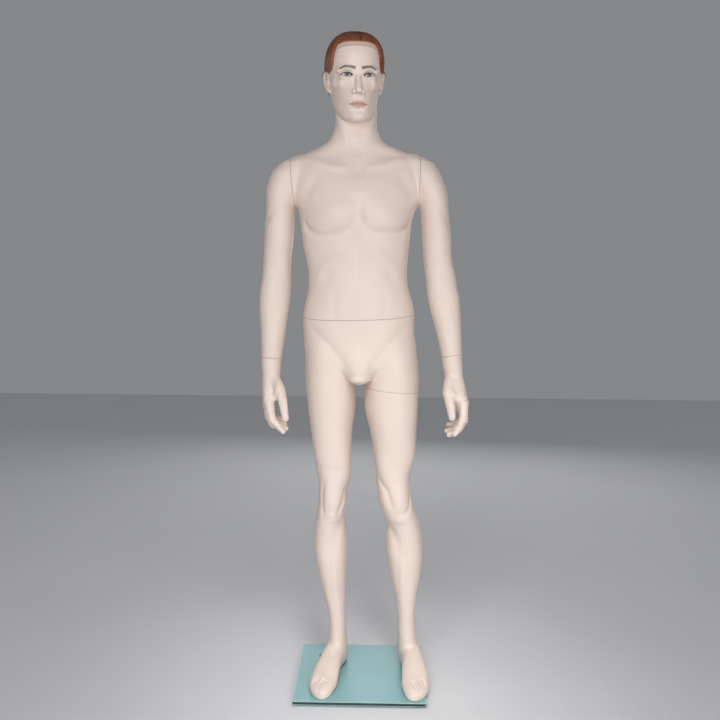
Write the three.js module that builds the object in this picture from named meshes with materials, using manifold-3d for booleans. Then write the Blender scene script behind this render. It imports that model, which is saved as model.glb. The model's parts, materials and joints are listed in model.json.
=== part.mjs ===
// A full-height male display mannequin that comes apart at the waist, shoulders, wrists and left thigh,
// standing on a square glass plate. Millimetres, +Z up, facing -Y, origin under the centre of the plate.
import * as THREE from "three";
import { mergeVertices } from "three/addons/utils/BufferGeometryUtils.js";
import Module from "manifold-3d";

const wasm = await Module();
wasm.setup();

// ---------------------------------------------------------------- driving dimensions
const GLASS_SIDE = 380;
const GLASS_THICKNESS = 10;
const GLASS_CORNER = 3;
const BUMPER_HEIGHT = 6;
const BUMPER_RADIUS = 10;
const BUMPER_INSET = 30;
const GLASS_TOP = BUMPER_HEIGHT + GLASS_THICKNESS;
const GAP = 0.3;
const WALL = 5;
const BOARD = 4;
const HUGE = 3000;
const TRUNK_SIDES = 20;
const LIMB_SIDES = 14;
const ROUND = 14;
const SMALL_ROUND = 12;

// ---------------------------------------------------------------- colours
const SKIN = { color: 0xe3d4c8, roughness: 0.55, metalness: 0 };
const GLASS = { color: 0x8cb0b3, roughness: 0.08, metalness: 0 };
const RUBBER = { color: 0x2a2b2c, roughness: 0.8, metalness: 0 };
const BLACK_STEEL = { color: 0x17181a, roughness: 0.45, metalness: 0.6 };
const STEEL = { color: 0xa9acb0, roughness: 0.35, metalness: 1 };
const WOOD = { color: 0xb9935f, roughness: 0.7, metalness: 0 };

// ---------------------------------------------------------------- body sections
// Each row is one level section of the body: height, right and left edge, front and back edge.
const TRUNK = [
  [908, -34, 14, -104, -40],
  [925, -62, 42, -110, 62],
  [950, -104, 84, -110, 98],
  [980, -158, 138, -107, 117],
  [1010, -172, 152, -106, 117],
  [1044, -174, 148, -105, 110],
  [1079, -175, 147, -104, 98],
  [1114, -171, 144, -102, 87],
  [1149, -163, 135, -101, 81],
  [1183, -158, 126, -100, 80],
  [1218, -159, 123, -101, 85],
  [1252, -166, 125, -103, 92],
  [1287, -173, 128, -107, 99],
  [1321, -178, 131, -113, 106],
  [1355, -182, 134, -121, 112],
  [1389, -187, 143, -122, 116],
  [1423, -205, 160, -117, 117],
  [1457, -214, 166, -108, 114],
  [1491, -219, 170, -92, 106],
  [1525, -216, 166, -72, 94],
  [1545, -186, 140, -60, 84],
  [1558, -156, 112, -54, 80],
  [1575, -122, 70, -50, 78],
  [1592, -102, 47, -47, 78],
  [1633, -86, 33, -42, 76],
  [1675, -82, 30, -40, 78],
  [1700, -80, 26, -36, 76],
];
const HEAD = [
  [1630, -40, -8, -86, -48],
  [1642, -60, 10, -96, -14],
  [1664, -80, 25, -99, 36],
  [1700, -98, 37, -100, 78],
  [1730, -107, 45, -99, 94],
  [1760, -112, 50, -98, 102],
  [1795, -115, 53, -98, 106],
  [1826, -114, 54, -95, 105],
  [1852, -106, 46, -86, 98],
  [1874, -90, 30, -68, 84],
  [1889, -66, 5, -42, 60],
  [1896, -44, -16, -10, 34],
];
const RIGHT_LEG = [
  [64, -92, -46, 14, 88],
  [140, -95, -45, 2, 84],
  [214, -107, -48, -10, 84],
  [289, -125, -48, -24, 94],
  [363, -141, -45, -36, 102],
  [418, -145, -45, -43, 100],
  [473, -140, -50, -52, 86],
  [509, -134, -52, -60, 74],
  [546, -129, -46, -66, 66],
  [582, -128, -45, -70, 64],
  [618, -131, -34, -74, 66],
  [690, -142, -33, -85, 74],
  [762, -153, -30, -92, 83],
  [833, -162, -22, -98, 93],
  [904, -168, -24, -102, 108],
  [950, -169, -16, -103, 119],
  [995, -169, -22, -99, 114],
  [1035, -158, -42, -82, 98],
];
const LEFT_LEG = [
  [64, 114, 164, 14, 88],
  [140, 111, 163, 2, 84],
  [214, 105, 165, -10, 84],
  [289, 91, 175, -24, 94],
  [363, 75, 183, -36, 102],
  [418, 71, 182, -43, 100],
  [473, 74, 171, -52, 86],
  [509, 62, 158, -60, 74],
  [546, 49, 149, -66, 66],
  [582, 44, 143, -70, 64],
  [618, 41, 140, -74, 66],
  [690, 33, 155, -85, 74],
  [762, 21, 159, -92, 83],
  [833, 5, 162, -98, 93],
  [904, 5, 163, -102, 108],
  [950, -4, 160, -103, 119],
  [995, -4, 154, -99, 114],
  [1035, 14, 136, -82, 98],
];
const RIGHT_ARM = [
  [926, -291, -238, -77, -16],
  [974, -292, -233, -75, -2],
  [1044, -295, -224, -72, 14],
  [1079, -297, -220, -69, 22],
  [1114, -299, -216, -65, 29],
  [1149, -298, -213, -60, 35],
  [1183, -295, -212, -54, 40],
  [1218, -291, -212, -49, 43],
  [1252, -290, -210, -48, 46],
  [1321, -287, -203, -54, 52],
  [1389, -282, -200, -62, 62],
  [1423, -282, -190, -66, 70],
  [1457, -280, -175, -66, 76],
  [1491, -270, -166, -60, 77],
  [1525, -242, -151, -42, 70],
  [1543, -207, -141, -16, 48],
];
const LEFT_ARM = [
  [926, 232, 287, -77, -16],
  [974, 225, 283, -75, -2],
  [1044, 210, 281, -72, 14],
  [1079, 201, 279, -69, 22],
  [1114, 192, 277, -65, 29],
  [1149, 185, 273, -60, 35],
  [1183, 180, 266, -54, 40],
  [1218, 176, 261, -49, 43],
  [1252, 172, 253, -48, 46],
  [1321, 166, 249, -54, 52],
  [1389, 162, 240, -62, 62],
  [1423, 150, 238, -66, 70],
  [1457, 138, 232, -66, 76],
  [1491, 126, 218, -60, 77],
  [1528, 108, 195, -42, 70],
  [1549, 100, 153, -16, 48],
];
// A foot runs from the back of the heel to the toes: distance, half width, height of the top, and how
// far the middle of the row moves over to the big toe's side.
const FOOT_ROWS = [
  [1, 16, 34, 0],
  [10, 28, 48, 0],
  [40, 33, 64, 0],
  [85, 33, 82, 0],
  [125, 35, 70, 0],
  [165, 39, 54, 0],
  [205, 40, 38, 1],
  [240, 36, 30, 4],
  [264, 27, 26, 8],
  [283, 11, 19, 12],
];
const FOOT_BELOW = 9;
const RIGHT_FOOT = { heel: [-71, 103], turn: 10.5, inner: 1 };
const LEFT_FOOT = { heel: [150, 103], turn: -3.5, inner: -1 };
// Right hand: each finger is a chain of centre points with a radius.
const RIGHT_HAND = {
  palm: [
    [-261.5, -42, 955, 26.5, 29],
    [-263, -45, 925, 25.5, 29.5],
    [-264, -50, 905, 24, 33],
    [-266.5, -60, 878, 19.5, 38],
    [-267, -65, 852, 17, 39],
    [-267, -68, 826, 12, 33],
  ],
  fingers: [
    [[-261, -98, 848, 13], [-258, -103, 820, 12], [-254, -105, 802, 11],
      [-236, -107, 783, 9], [-223, -108, 769, 8]],
    [[-270, -79, 842, 12], [-266, -82, 806, 11], [-253, -85, 784, 10],
      [-217, -87, 774, 8]],
    [[-272, -60, 840, 11], [-269, -62, 805, 10], [-252, -63, 786, 9],
      [-223, -64, 781, 7.5]],
    [[-271, -43, 838, 10], [-269, -43, 808, 9], [-254, -44, 796, 8],
      [-233, -45, 793, 6.5]],
    [[-247, -70, 906, 15], [-234, -92, 886, 15.5], [-225, -106, 860, 13],
      [-219.5, -112, 833, 11.5], [-214.5, -116, 807, 9.5]],
  ],
};
const LEFT_HAND = {
  palm: [
    [262, -42, 955, 27, 29],
    [262.5, -45, 925, 26.5, 29.5],
    [264, -50, 905, 27, 33],
    [273, -60, 878, 23, 38],
    [281, -65, 852, 18.5, 39],
    [284, -68, 826, 11, 33],
  ],
  fingers: [
    [[285, -98, 852, 13], [285, -104, 830, 12.3], [283.5, -106, 809, 11.5],
      [272.5, -107, 784, 9.5], [260.5, -108, 767, 8.5]],
    [[287, -79, 846, 12], [289, -82, 802, 11], [274, -84, 775, 9.5],
      [247, -86, 761, 8]],
    [[289, -60, 842, 11], [291, -62, 798, 10], [268, -63, 774, 9],
      [242, -64, 768, 7.5]],
    [[288, -43, 840, 10], [289, -43, 802, 9], [270, -44, 786, 8],
      [248, -45, 783, 7]],
    [[247, -66, 906, 17], [241.5, -90, 880, 15.5], [246.5, -106, 852, 13],
      [249.5, -112, 832, 12], [251.5, -115, 815, 9.8]],
  ],
};

// ---------------------------------------------------------------- seams
// A seam is a point and the direction in which the removable section comes away.
const seam = (at, out) => ({ at: new THREE.Vector3(...at), out: new THREE.Vector3(...out).normalize() });
const WAIST = seam([-14, 0, 1096], [-0.03, -0.125, 1]);
const THIGH = seam([84, 4, 881], [-0.08, 0, -1]);
const SHOULDERS = {
  right: seam([-204, 8, 1472], [-0.995, 0, -0.0995]),
  left: seam([155.5, 8, 1478], [0.9997, 0, -0.024]),
};
const WRISTS = {
  right: seam([-262, -39, 968], [-0.06, -0.134, -0.989]),
  left: seam([255.5, -39, 980], [0.147, -0.133, -0.98]),
};
const ARMPIT_Z = 1385;

// ---------------------------------------------------------------- fittings
const FOOT_PLATE = { x: -90, y: 80, length: 92, width: 30, thickness: 4, turn: -34, boltOffset: 36 };
const SOLE = 8;
const FOOT_ROD = { radius: 5, height: 62, along: 21 };
const ROD_SOCKET = { outer: 8.5, flange: 13, thickness: 3, top: 68 };
const SPIGOT = { side: 25, wall: 2.5, length: 70 };
const THIGH_TUBE = { side: 22, wall: 2.5, length: 66 };
const FLANGE = { radius: 34, thickness: 3 };
const SHOULDER_PEG = { radius: 10, inside: 56, hub: 20, head: 15 };
const WRIST_PEG = { radius: 6, inside: 38, head: 9.5 };
const SCREW = { radius: 1.8, head: 4, headHeight: 2, length: 6 };
const BOLT = { radius: 3, head: 6, headHeight: 3.2 };

// ---------------------------------------------------------------- solids
const deg = (angle) => THREE.MathUtils.degToRad(angle);

function fromManifold(solid) {
  const mesh = solid.getMesh();
  const geometry = new THREE.BufferGeometry();
  geometry.setAttribute("position", new THREE.BufferAttribute(Float32Array.from(mesh.vertProperties), 3));
  geometry.setIndex(new THREE.BufferAttribute(Uint32Array.from(mesh.triVerts), 1));
  return geometry;
}

function toManifold(geometry) {
  const bare = geometry.clone();
  bare.deleteAttribute("normal");
  bare.deleteAttribute("uv");
  const merged = mergeVertices(bare, 1e-4);
  const vertProperties = Float32Array.from(merged.attributes.position.array);
  const triVerts = Uint32Array.from(merged.index.array);
  return new wasm.Manifold(new wasm.Mesh({ numProp: 3, vertProperties, triVerts }));
}

const union = (first, ...rest) => rest.reduce((sum, next) => sum.add(next), first);

// A closed skin over rings with the same number of points, each end closed by a fan.
function skin(rings) {
  const sides = rings[0].length;
  const points = rings.flat();
  const faces = [];
  for (let ring = 0; ring < rings.length - 1; ring++) {
    for (let i = 0; i < sides; i++) {
      const a = ring * sides + i;
      const b = ring * sides + ((i + 1) % sides);
      faces.push(a, b, b + sides, a, b + sides, a + sides);
    }
  }
  const middle = (ring) => ring.reduce((sum, p) => sum.add(p), new THREE.Vector3()).divideScalar(sides);
  const first = points.length;
  points.push(middle(rings[0]), middle(rings.at(-1)));
  const lastRing = (rings.length - 1) * sides;
  for (let i = 0; i < sides; i++) {
    const next = (i + 1) % sides;
    faces.push(first, next, i, first + 1, lastRing + i, lastRing + next);
  }
  const geometry = new THREE.BufferGeometry().setFromPoints(points);
  geometry.setIndex(faces);
  return toManifold(geometry);
}

// A rounded section: an ellipse pushed out towards its corners by the power.
function roundSection(sides, power, place) {
  const ring = [];
  for (let i = 0; i < sides; i++) {
    const angle = (2 * Math.PI * i) / sides;
    const c = Math.cos(angle);
    const s = Math.sin(angle);
    const u = Math.sign(c) * Math.abs(c) ** (2 / power);
    const v = Math.sign(s) * Math.abs(s) ** (2 / power);
    ring.push(place(u, v));
  }
  return ring;
}

// A loft through level body sections, moved inwards by inset on every side.
function bodyLoft(rows, sides, inset = 0, power = 2.25) {
  const low = rows[0][0];
  const high = rows.at(-1)[0];
  const squeeze = 1 - (2 * inset) / (high - low);
  const kept = rows.filter((row, i) => inset === 0 || i % 2 === 0 || i === rows.length - 1);
  const rings = kept.map(([z, x0, x1, y0, y1]) => {
    const level = (low + high) / 2 + (z - (low + high) / 2) * squeeze;
    const rx = Math.max((x1 - x0) / 2 - inset, 2);
    const ry = Math.max((y1 - y0) / 2 - inset, 2);
    return roundSection(sides, power, (u, v) =>
      new THREE.Vector3((x0 + x1) / 2 + rx * u, (y0 + y1) / 2 + ry * v, level));
  });
  return skin(rings);
}

// A foot lofted from heel to toes, its sole cut flat just above the glass.
function foot({ heel, turn, inner }, inset) {
  const bottom = GLASS_TOP - FOOT_BELOW + inset;
  const forward = new THREE.Vector3(-Math.sin(deg(turn)), -Math.cos(deg(turn)), 0);
  const across = new THREE.Vector3(-forward.y, forward.x, 0);
  const start = new THREE.Vector3(heel[0], heel[1], 0);
  const kept = FOOT_ROWS.filter((row, i) => inset === 0 || i % 2 === 1);
  const rings = kept.map(([along, half, top, shift]) => {
    const mid = (GLASS_TOP + top - inset + bottom) / 2;
    const high = Math.max((GLASS_TOP + top - inset - bottom) / 2, 1);
    const reach = THREE.MathUtils.clamp(along, inset, FOOT_ROWS.at(-1)[0] - inset);
    return roundSection(LIMB_SIDES, 2.4, (u, v) => start.clone()
      .addScaledVector(forward, reach)
      .addScaledVector(across, (half - inset) * u + shift * inner)
      .setZ(mid + high * v));
  });
  return skin(rings).intersect(halfSpace(new THREE.Vector3(0, 0, GLASS_TOP + GAP + (inset > 0 ? SOLE : 0)),
    new THREE.Vector3(0, 0, 1)));
}

// A limb that follows centre points, each with a radius, with a rounded end.
function chain(points, sides) {
  const rings = [];
  const at = points.map(([x, y, z]) => new THREE.Vector3(x, y, z));
  points.forEach(([, , , radius], i) => {
    const before = at[Math.max(i - 1, 0)];
    const after = at[Math.min(i + 1, at.length - 1)];
    const along = after.clone().sub(before).normalize();
    const across = new THREE.Vector3(0, 1, 0).cross(along).normalize();
    const side = along.clone().cross(across);
    const ring = (centre, r) => roundSection(sides, 2, (u, v) =>
      centre.clone().addScaledVector(across, r * u).addScaledVector(side, r * v));
    rings.push(ring(at[i], radius));
    if (i === at.length - 1) {
      rings.push(ring(at[i].clone().addScaledVector(along, radius * 0.8), radius * 0.6));
    }
  });
  return skin(rings);
}

// Everything on the far side of a plane.
function halfSpace(at, out) {
  const block = new THREE.BoxGeometry(HUGE, HUGE, HUGE);
  block.translate(0, 0, HUGE / 2);
  block.applyQuaternion(new THREE.Quaternion().setFromUnitVectors(new THREE.Vector3(0, 0, 1), out));
  block.translate(at.x, at.y, at.z);
  return toManifold(block);
}

const beyond = ({ at, out }, offset = 0) => halfSpace(at.clone().addScaledVector(out, offset), out);
const behind = ({ at, out }, offset = 0) =>
  halfSpace(at.clone().addScaledVector(out, offset), out.clone().negate());
const aboveZ = (z) => halfSpace(new THREE.Vector3(0, 0, z), new THREE.Vector3(0, 0, 1));
const belowZ = (z) => halfSpace(new THREE.Vector3(0, 0, z), new THREE.Vector3(0, 0, -1));

// The slice of a solid between two distances from a seam.
const slice = (solid, place, from, to) => solid.intersect(beyond(place, from)).intersect(behind(place, to));

// Puts a geometry built along +Y onto a seam's axis, or along any direction.
function align(geometry, { at, out }, along = out) {
  geometry.applyQuaternion(new THREE.Quaternion().setFromUnitVectors(new THREE.Vector3(0, 1, 0), along));
  geometry.translate(at.x, at.y, at.z);
  return geometry;
}

// A turned piece: outline points [radius, distance along the axis], anticlockwise.
function turned(outline, sides = ROUND) {
  return new THREE.LatheGeometry(outline.map(([r, y]) => new THREE.Vector2(r, y)), sides);
}

const rod = (radius, from, to, sides = ROUND) =>
  turned([[0, from], [radius, from], [radius, to], [0, to]], sides);

const ringTube = (inner, outer, from, to, sides = ROUND) =>
  turned([[inner, from], [outer, from], [outer, to], [inner, to], [inner, from]], sides);

// A sleeve with a flange, from the flange's face inwards to the sleeve's end.
function flangedSleeve({ inner, outer, flange, face, thickness, end }, sides = ROUND) {
  const back = face + Math.sign(end - face) * thickness;
  const outline = [[inner, face], [flange, face], [flange, back], [outer, back], [outer, end], [inner, end]];
  const ordered = end > face ? outline : outline.reverse();
  return turned([...ordered, ordered[0]], sides);
}

// A square tube along +Y between two heights.
function squareTube(side, wall, from, to) {
  const half = side / 2;
  const corner = [[-1, -1], [1, -1], [1, 1], [-1, 1]];
  const path = (size) => corner.map(([u, v]) => new THREE.Vector2(u * size, v * size));
  const shape = new THREE.Shape(path(half));
  if (wall > 0) shape.holes.push(new THREE.Path(path(half - wall).reverse()));
  const geometry = new THREE.ExtrudeGeometry(shape, { depth: to - from, bevelEnabled: false });
  geometry.rotateX(-Math.PI / 2);
  geometry.translate(0, from, 0);
  return geometry;
}

// An oblong with round ends, lying level, from a base height upwards.
function oblong(length, width, thickness, grow = 0) {
  const radius = width / 2 + grow;
  const reach = length / 2 - width / 2;
  const shape = new THREE.Shape();
  shape.absarc(reach, 0, radius, -Math.PI / 2, Math.PI / 2, false);
  shape.absarc(-reach, 0, radius, Math.PI / 2, (3 * Math.PI) / 2, false);
  shape.closePath();
  return new THREE.ExtrudeGeometry(shape, { depth: thickness, bevelEnabled: false, curveSegments: 10 });
}

// A screw along +Y: head first, then the shank.
const screw = ({ radius, head, headHeight, length }) =>
  turned([[0, -length], [radius, -length], [radius, 0], [head, 0], [head * 0.7, headHeight], [0, headHeight]],
    SMALL_ROUND);

// ---------------------------------------------------------------- the mannequin
const mannequin = new THREE.Group();

function addPiece(name, shape, look) {
  const geometry = shape.isBufferGeometry ? shape : fromManifold(shape);
  const mesh = new THREE.Mesh(geometry, new THREE.MeshStandardMaterial(look));
  mesh.name = name;
  mannequin.add(mesh);
}

// The point at a distance from the axis of a seam, for screws around a flange.
function aroundAxis({ at, out }, radius, angle, distance) {
  const across = new THREE.Vector3(0, 1, 0).addScaledVector(out, -out.y);
  if (across.length() < 0.3) across.set(1, 0, 0).addScaledVector(out, -out.x);
  across.normalize();
  const side = out.clone().cross(across);
  return at.clone()
    .addScaledVector(across, radius * Math.cos(angle))
    .addScaledVector(side, radius * Math.sin(angle))
    .addScaledVector(out, distance);
}

function addGlassBase() {
  const half = GLASS_SIDE / 2;
  const outline = new THREE.Shape();
  outline.moveTo(-half + GLASS_CORNER, -half);
  outline.lineTo(half - GLASS_CORNER, -half);
  outline.lineTo(half, -half + GLASS_CORNER);
  outline.lineTo(half, half - GLASS_CORNER);
  outline.lineTo(half - GLASS_CORNER, half);
  outline.lineTo(-half + GLASS_CORNER, half);
  outline.lineTo(-half, half - GLASS_CORNER);
  outline.lineTo(-half, -half + GLASS_CORNER);
  const plate = new THREE.ExtrudeGeometry(outline, { depth: GLASS_THICKNESS, bevelEnabled: false });
  plate.translate(0, 0, BUMPER_HEIGHT);
  let glass = toManifold(plate);
  for (const place of plateBolts()) {
    glass = glass.subtract(toManifold(align(rod(BOLT.radius + 1, -1, 30, SMALL_ROUND), place)));
  }
  addPiece("glass_base", glass, GLASS);
  const corners = { front_right: [-1, -1], front_left: [1, -1], rear_right: [-1, 1], rear_left: [1, 1] };
  for (const [name, [u, v]] of Object.entries(corners)) {
    const spot = seam([u * (half - BUMPER_INSET), v * (half - BUMPER_INSET), 0], [0, 0, 1]);
    const bumper = turned([[0, 0], [BUMPER_RADIUS - 1.5, 0], [BUMPER_RADIUS, 1.5],
      [BUMPER_RADIUS, BUMPER_HEIGHT - GAP], [0, BUMPER_HEIGHT - GAP]], SMALL_ROUND + 4);
    addPiece(`bumper_${name}`, align(bumper, spot), RUBBER);
  }
}

// Where the two bolts of the foot plate go through the glass.
function plateBolts() {
  const along = deg(FOOT_PLATE.turn);
  return [-1, 1].map((side) => seam([
    FOOT_PLATE.x + side * FOOT_PLATE.boltOffset * Math.cos(along),
    FOOT_PLATE.y + side * FOOT_PLATE.boltOffset * Math.sin(along),
    0,
  ], [0, 0, 1]));
}

function footPlate(grow = 0, thickness = FOOT_PLATE.thickness, lift = GAP) {
  const plate = oblong(FOOT_PLATE.length, FOOT_PLATE.width, thickness, grow);
  plate.rotateZ(deg(FOOT_PLATE.turn));
  plate.translate(FOOT_PLATE.x, FOOT_PLATE.y, GLASS_TOP + lift);
  return toManifold(plate);
}

// The rod stands on the plate, a little towards its inner end, so that it is under the ankle.
const rodSpot = seam([
  FOOT_PLATE.x + FOOT_ROD.along * Math.cos(deg(FOOT_PLATE.turn)),
  FOOT_PLATE.y + FOOT_ROD.along * Math.sin(deg(FOOT_PLATE.turn)),
  GLASS_TOP,
], [0, 0, 1]);

function addFootFitting() {
  const plateTop = GLASS_TOP + GAP + FOOT_PLATE.thickness;
  let plate = footPlate();
  const names = ["outer", "inner"];
  plateBolts().forEach((place, i) => {
    plate = plate.subtract(toManifold(align(rod(BOLT.radius + GAP, 0, 60, SMALL_ROUND), place)));
    const headBase = plateTop + GAP;
    const bolt = turned([[0, 1], [BOLT.radius, 1], [BOLT.radius, headBase], [BOLT.head, headBase],
      [BOLT.head, headBase + BOLT.headHeight * 0.5], [BOLT.head * 0.6, headBase + BOLT.headHeight],
      [0, headBase + BOLT.headHeight]], SMALL_ROUND);
    addPiece(`plate_bolt_${names[i]}`, align(bolt, place), BLACK_STEEL);
    const washerTop = BUMPER_HEIGHT - GAP;
    addPiece(`base_washer_${names[i]}`,
      align(ringTube(BOLT.radius + GAP, 8, washerTop - 1, washerTop, SMALL_ROUND), place), STEEL);
    const nut = toManifold(align(rod(6, washerTop - 4.2, washerTop - 1 - GAP, 6), place));
    const thread = toManifold(align(rod(BOLT.radius + GAP, 0, 10, SMALL_ROUND), place));
    addPiece(`base_nut_${names[i]}`, nut.subtract(thread), STEEL);
  });
  plate = plate.subtract(toManifold(align(rod(FOOT_ROD.radius + GAP, -1, 20), rodSpot)));
  addPiece("foot_rod_plate", plate, BLACK_STEEL);
  const stand = turned([[0, GAP], [FOOT_ROD.radius, GAP], [FOOT_ROD.radius, FOOT_ROD.height - 2],
    [FOOT_ROD.radius - 2, FOOT_ROD.height], [0, FOOT_ROD.height]], ROUND);
  addPiece("foot_rod", align(stand, rodSpot), STEEL);
  addPiece("foot_rod_socket", align(flangedSleeve({
    inner: FOOT_ROD.radius + 0.5, outer: ROD_SOCKET.outer, flange: ROD_SOCKET.flange,
    face: SOLE + 2 * GAP, thickness: ROD_SOCKET.thickness, end: ROD_SOCKET.top,
  }), rodSpot), STEEL);
}

// Outer skins and the hollows inside them; extra shrinks a hollow so that a board fits into it.
const limbs = (inset) => ({
  trunk: bodyLoft(TRUNK, TRUNK_SIDES, inset, 2.35),
  head: bodyLoft(HEAD, LIMB_SIDES, inset),
  rightLeg: bodyLoft(RIGHT_LEG, LIMB_SIDES, inset),
  leftLeg: bodyLoft(LEFT_LEG, LIMB_SIDES, inset),
  rightFoot: foot(RIGHT_FOOT, inset),
  leftFoot: foot(LEFT_FOOT, inset),
  rightArm: bodyLoft(RIGHT_ARM, LIMB_SIDES - 2, inset),
  leftArm: bodyLoft(LEFT_ARM, LIMB_SIDES - 2, inset),
});
const outer = limbs(0);
const hollow = limbs(WALL);
const board = limbs(WALL + GAP);

function palmAndFingers({ palm, fingers }) {
  const rings = [...palm].reverse().map(([x, y, z, rx, ry]) =>
    roundSection(10, 2.3, (u, v) => new THREE.Vector3(x + rx * u, y + ry * v, z)));
  return union(skin(rings), ...fingers.map((finger) => chain(finger, 6)));
}

function addWaist() {
  const lowerBoard = slice(board.trunk, WAIST, -GAP / 2 - BOARD, -GAP / 2);
  const upperBoard = slice(board.trunk, WAIST, GAP / 2, GAP / 2 + BOARD);
  const tubeHole = (side) => toManifold(align(squareTube(side, 0, -40, 40), WAIST));
  const angles = [0.5, 0.5 + (2 * Math.PI) / 3, 0.5 + (4 * Math.PI) / 3];
  const screwHoles = angles.map((angle) => ({
    at: aroundAxis(WAIST, 25, angle, -BOARD - GAP * 1.5 - FLANGE.thickness), out: WAIST.out.clone().negate(),
  }));
  let lower = lowerBoard.subtract(tubeHole(SPIGOT.side + 2 * GAP));
  let flange = toManifold(align(ringTube(SPIGOT.side * 0.75, FLANGE.radius,
    -BOARD - GAP - FLANGE.thickness, -BOARD - GAP), WAIST));
  screwHoles.forEach((place, i) => {
    const clearance = toManifold(align(rod(SCREW.radius + GAP, -SCREW.length - 1, 2, SMALL_ROUND), place));
    lower = lower.subtract(clearance);
    flange = flange.subtract(clearance);
    const set = { at: place.at.clone().addScaledVector(place.out, GAP), out: place.out };
    addPiece(`spigot_screw_${i + 1}`, align(screw(SCREW), set), STEEL);
  });
  addPiece("waist_disc_lower", lower, WOOD);
  addPiece("waist_spigot_flange", flange, STEEL);
  const stop = -BOARD - GAP - FLANGE.thickness - 6;
  addPiece("waist_spigot", align(squareTube(SPIGOT.side, SPIGOT.wall, stop, SPIGOT.length), WAIST), STEEL);
  addPiece("waist_disc_upper", upperBoard.subtract(tubeHole(SPIGOT.side + 7 + 2 * GAP)), WOOD);
  const sleeve = toManifold(align(squareTube(SPIGOT.side + 7, 0, GAP, SPIGOT.length - 4), WAIST));
  const collar = toManifold(align(rod(FLANGE.radius, BOARD + 2 * GAP, BOARD + 2 * GAP + FLANGE.thickness),
    WAIST));
  const bore = toManifold(align(squareTube(SPIGOT.side + 2 * GAP, 0, -5, SPIGOT.length + 5), WAIST));
  addPiece("waist_socket", union(sleeve, collar).subtract(bore), STEEL);
}

function addThigh() {
  const up = new THREE.Vector3(0, 0, 1);
  const tube = (side, wall, from, to) => toManifold(align(squareTube(side, wall, from, to), THIGH, up));
  const sleeveSide = THIGH_TUBE.side + 7;
  const upperBoard = slice(board.leftLeg, THIGH, -GAP / 2 - BOARD, -GAP / 2);
  const lowerBoard = slice(board.leftLeg, THIGH, GAP / 2, GAP / 2 + BOARD);
  addPiece("thigh_disc_upper", upperBoard.subtract(tube(sleeveSide + 2 * GAP, 0, -40, 40)), WOOD);
  addPiece("thigh_disc_lower", lowerBoard.subtract(tube(THIGH_TUBE.side + 2 * GAP, 0, -40, 40)), WOOD);
  const upperCollar = toManifold(align(rod(FLANGE.radius - 6, -BOARD - 2 * GAP - FLANGE.thickness,
    -BOARD - 2 * GAP), THIGH));
  const bore = tube(THIGH_TUBE.side + 2 * GAP, 0, -5, 90);
  const sleeve = tube(sleeveSide, 0, 2, THIGH_TUBE.length + 4);
  addPiece("thigh_socket", union(sleeve, upperCollar).subtract(bore), STEEL);
  const lowerCollar = toManifold(align(rod(FLANGE.radius - 6, BOARD + 2 * GAP,
    BOARD + 2 * GAP + FLANGE.thickness), THIGH));
  const inside = tube(THIGH_TUBE.side - 2 * THIGH_TUBE.wall, 0, -60, 90);
  const peg = tube(THIGH_TUBE.side, 0, -BOARD - 6, THIGH_TUBE.length);
  addPiece("thigh_peg", union(peg, lowerCollar).subtract(inside), STEEL);
}

function addUpperBody() {
  const zone = (side, offset) => beyond(SHOULDERS[side], offset).intersect(aboveZ(ARMPIT_Z));
  const arms = [outer.rightArm, outer.leftArm].map((arm) => arm.intersect(aboveZ(ARMPIT_Z)));
  const solid = union(outer.trunk, outer.head, ...arms)
    .intersect(beyond(WAIST, GAP / 2))
    .subtract(zone("right", -GAP / 2))
    .subtract(zone("left", -GAP / 2));
  const inside = union(hollow.trunk, hollow.head, hollow.rightArm, hollow.leftArm);
  addPiece("upper_body_shell", solid.subtract(inside), SKIN);
}

function addLowerBody() {
  const rodHole = toManifold(align(rod(FOOT_ROD.radius + 1, -5, 40), rodSpot));
  const flangeTop = SOLE + ROD_SOCKET.thickness + 2;
  const flangeRoom = toManifold(align(rod(ROD_SOCKET.flange + GAP, SOLE + GAP, flangeTop), rodSpot));
  const sleeveRoom = toManifold(align(rod(ROD_SOCKET.outer + GAP, SOLE, ROD_SOCKET.top + 2), rodSpot));
  const boltRoom = plateBolts().map((place) =>
    toManifold(align(rod(BOLT.head + 2, GLASS_TOP, GLASS_TOP + 9, SMALL_ROUND), place)));
  const leftHip = outer.leftLeg.intersect(behind(THIGH, -GAP / 2));
  const solid = union(outer.trunk, outer.rightLeg, outer.rightFoot, leftHip)
    .intersect(behind(WAIST, -GAP / 2));
  const hollows = union(hollow.trunk, hollow.rightLeg, hollow.leftLeg, hollow.rightFoot);
  const shell = solid.subtract(hollows)
    .subtract(rodHole)
    .subtract(flangeRoom)
    .subtract(sleeveRoom)
    .subtract(footPlate(1, FOOT_PLATE.thickness + 2, -1))
    .subtract(boltRoom[0])
    .subtract(boltRoom[1]);
  addPiece("lower_body_shell", shell, SKIN);
}

function addLeftLeg() {
  const solid = union(outer.leftLeg, outer.leftFoot).intersect(beyond(THIGH, GAP / 2));
  addPiece("left_leg_shell", solid.subtract(union(hollow.leftLeg, hollow.leftFoot)), SKIN);
}

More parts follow.
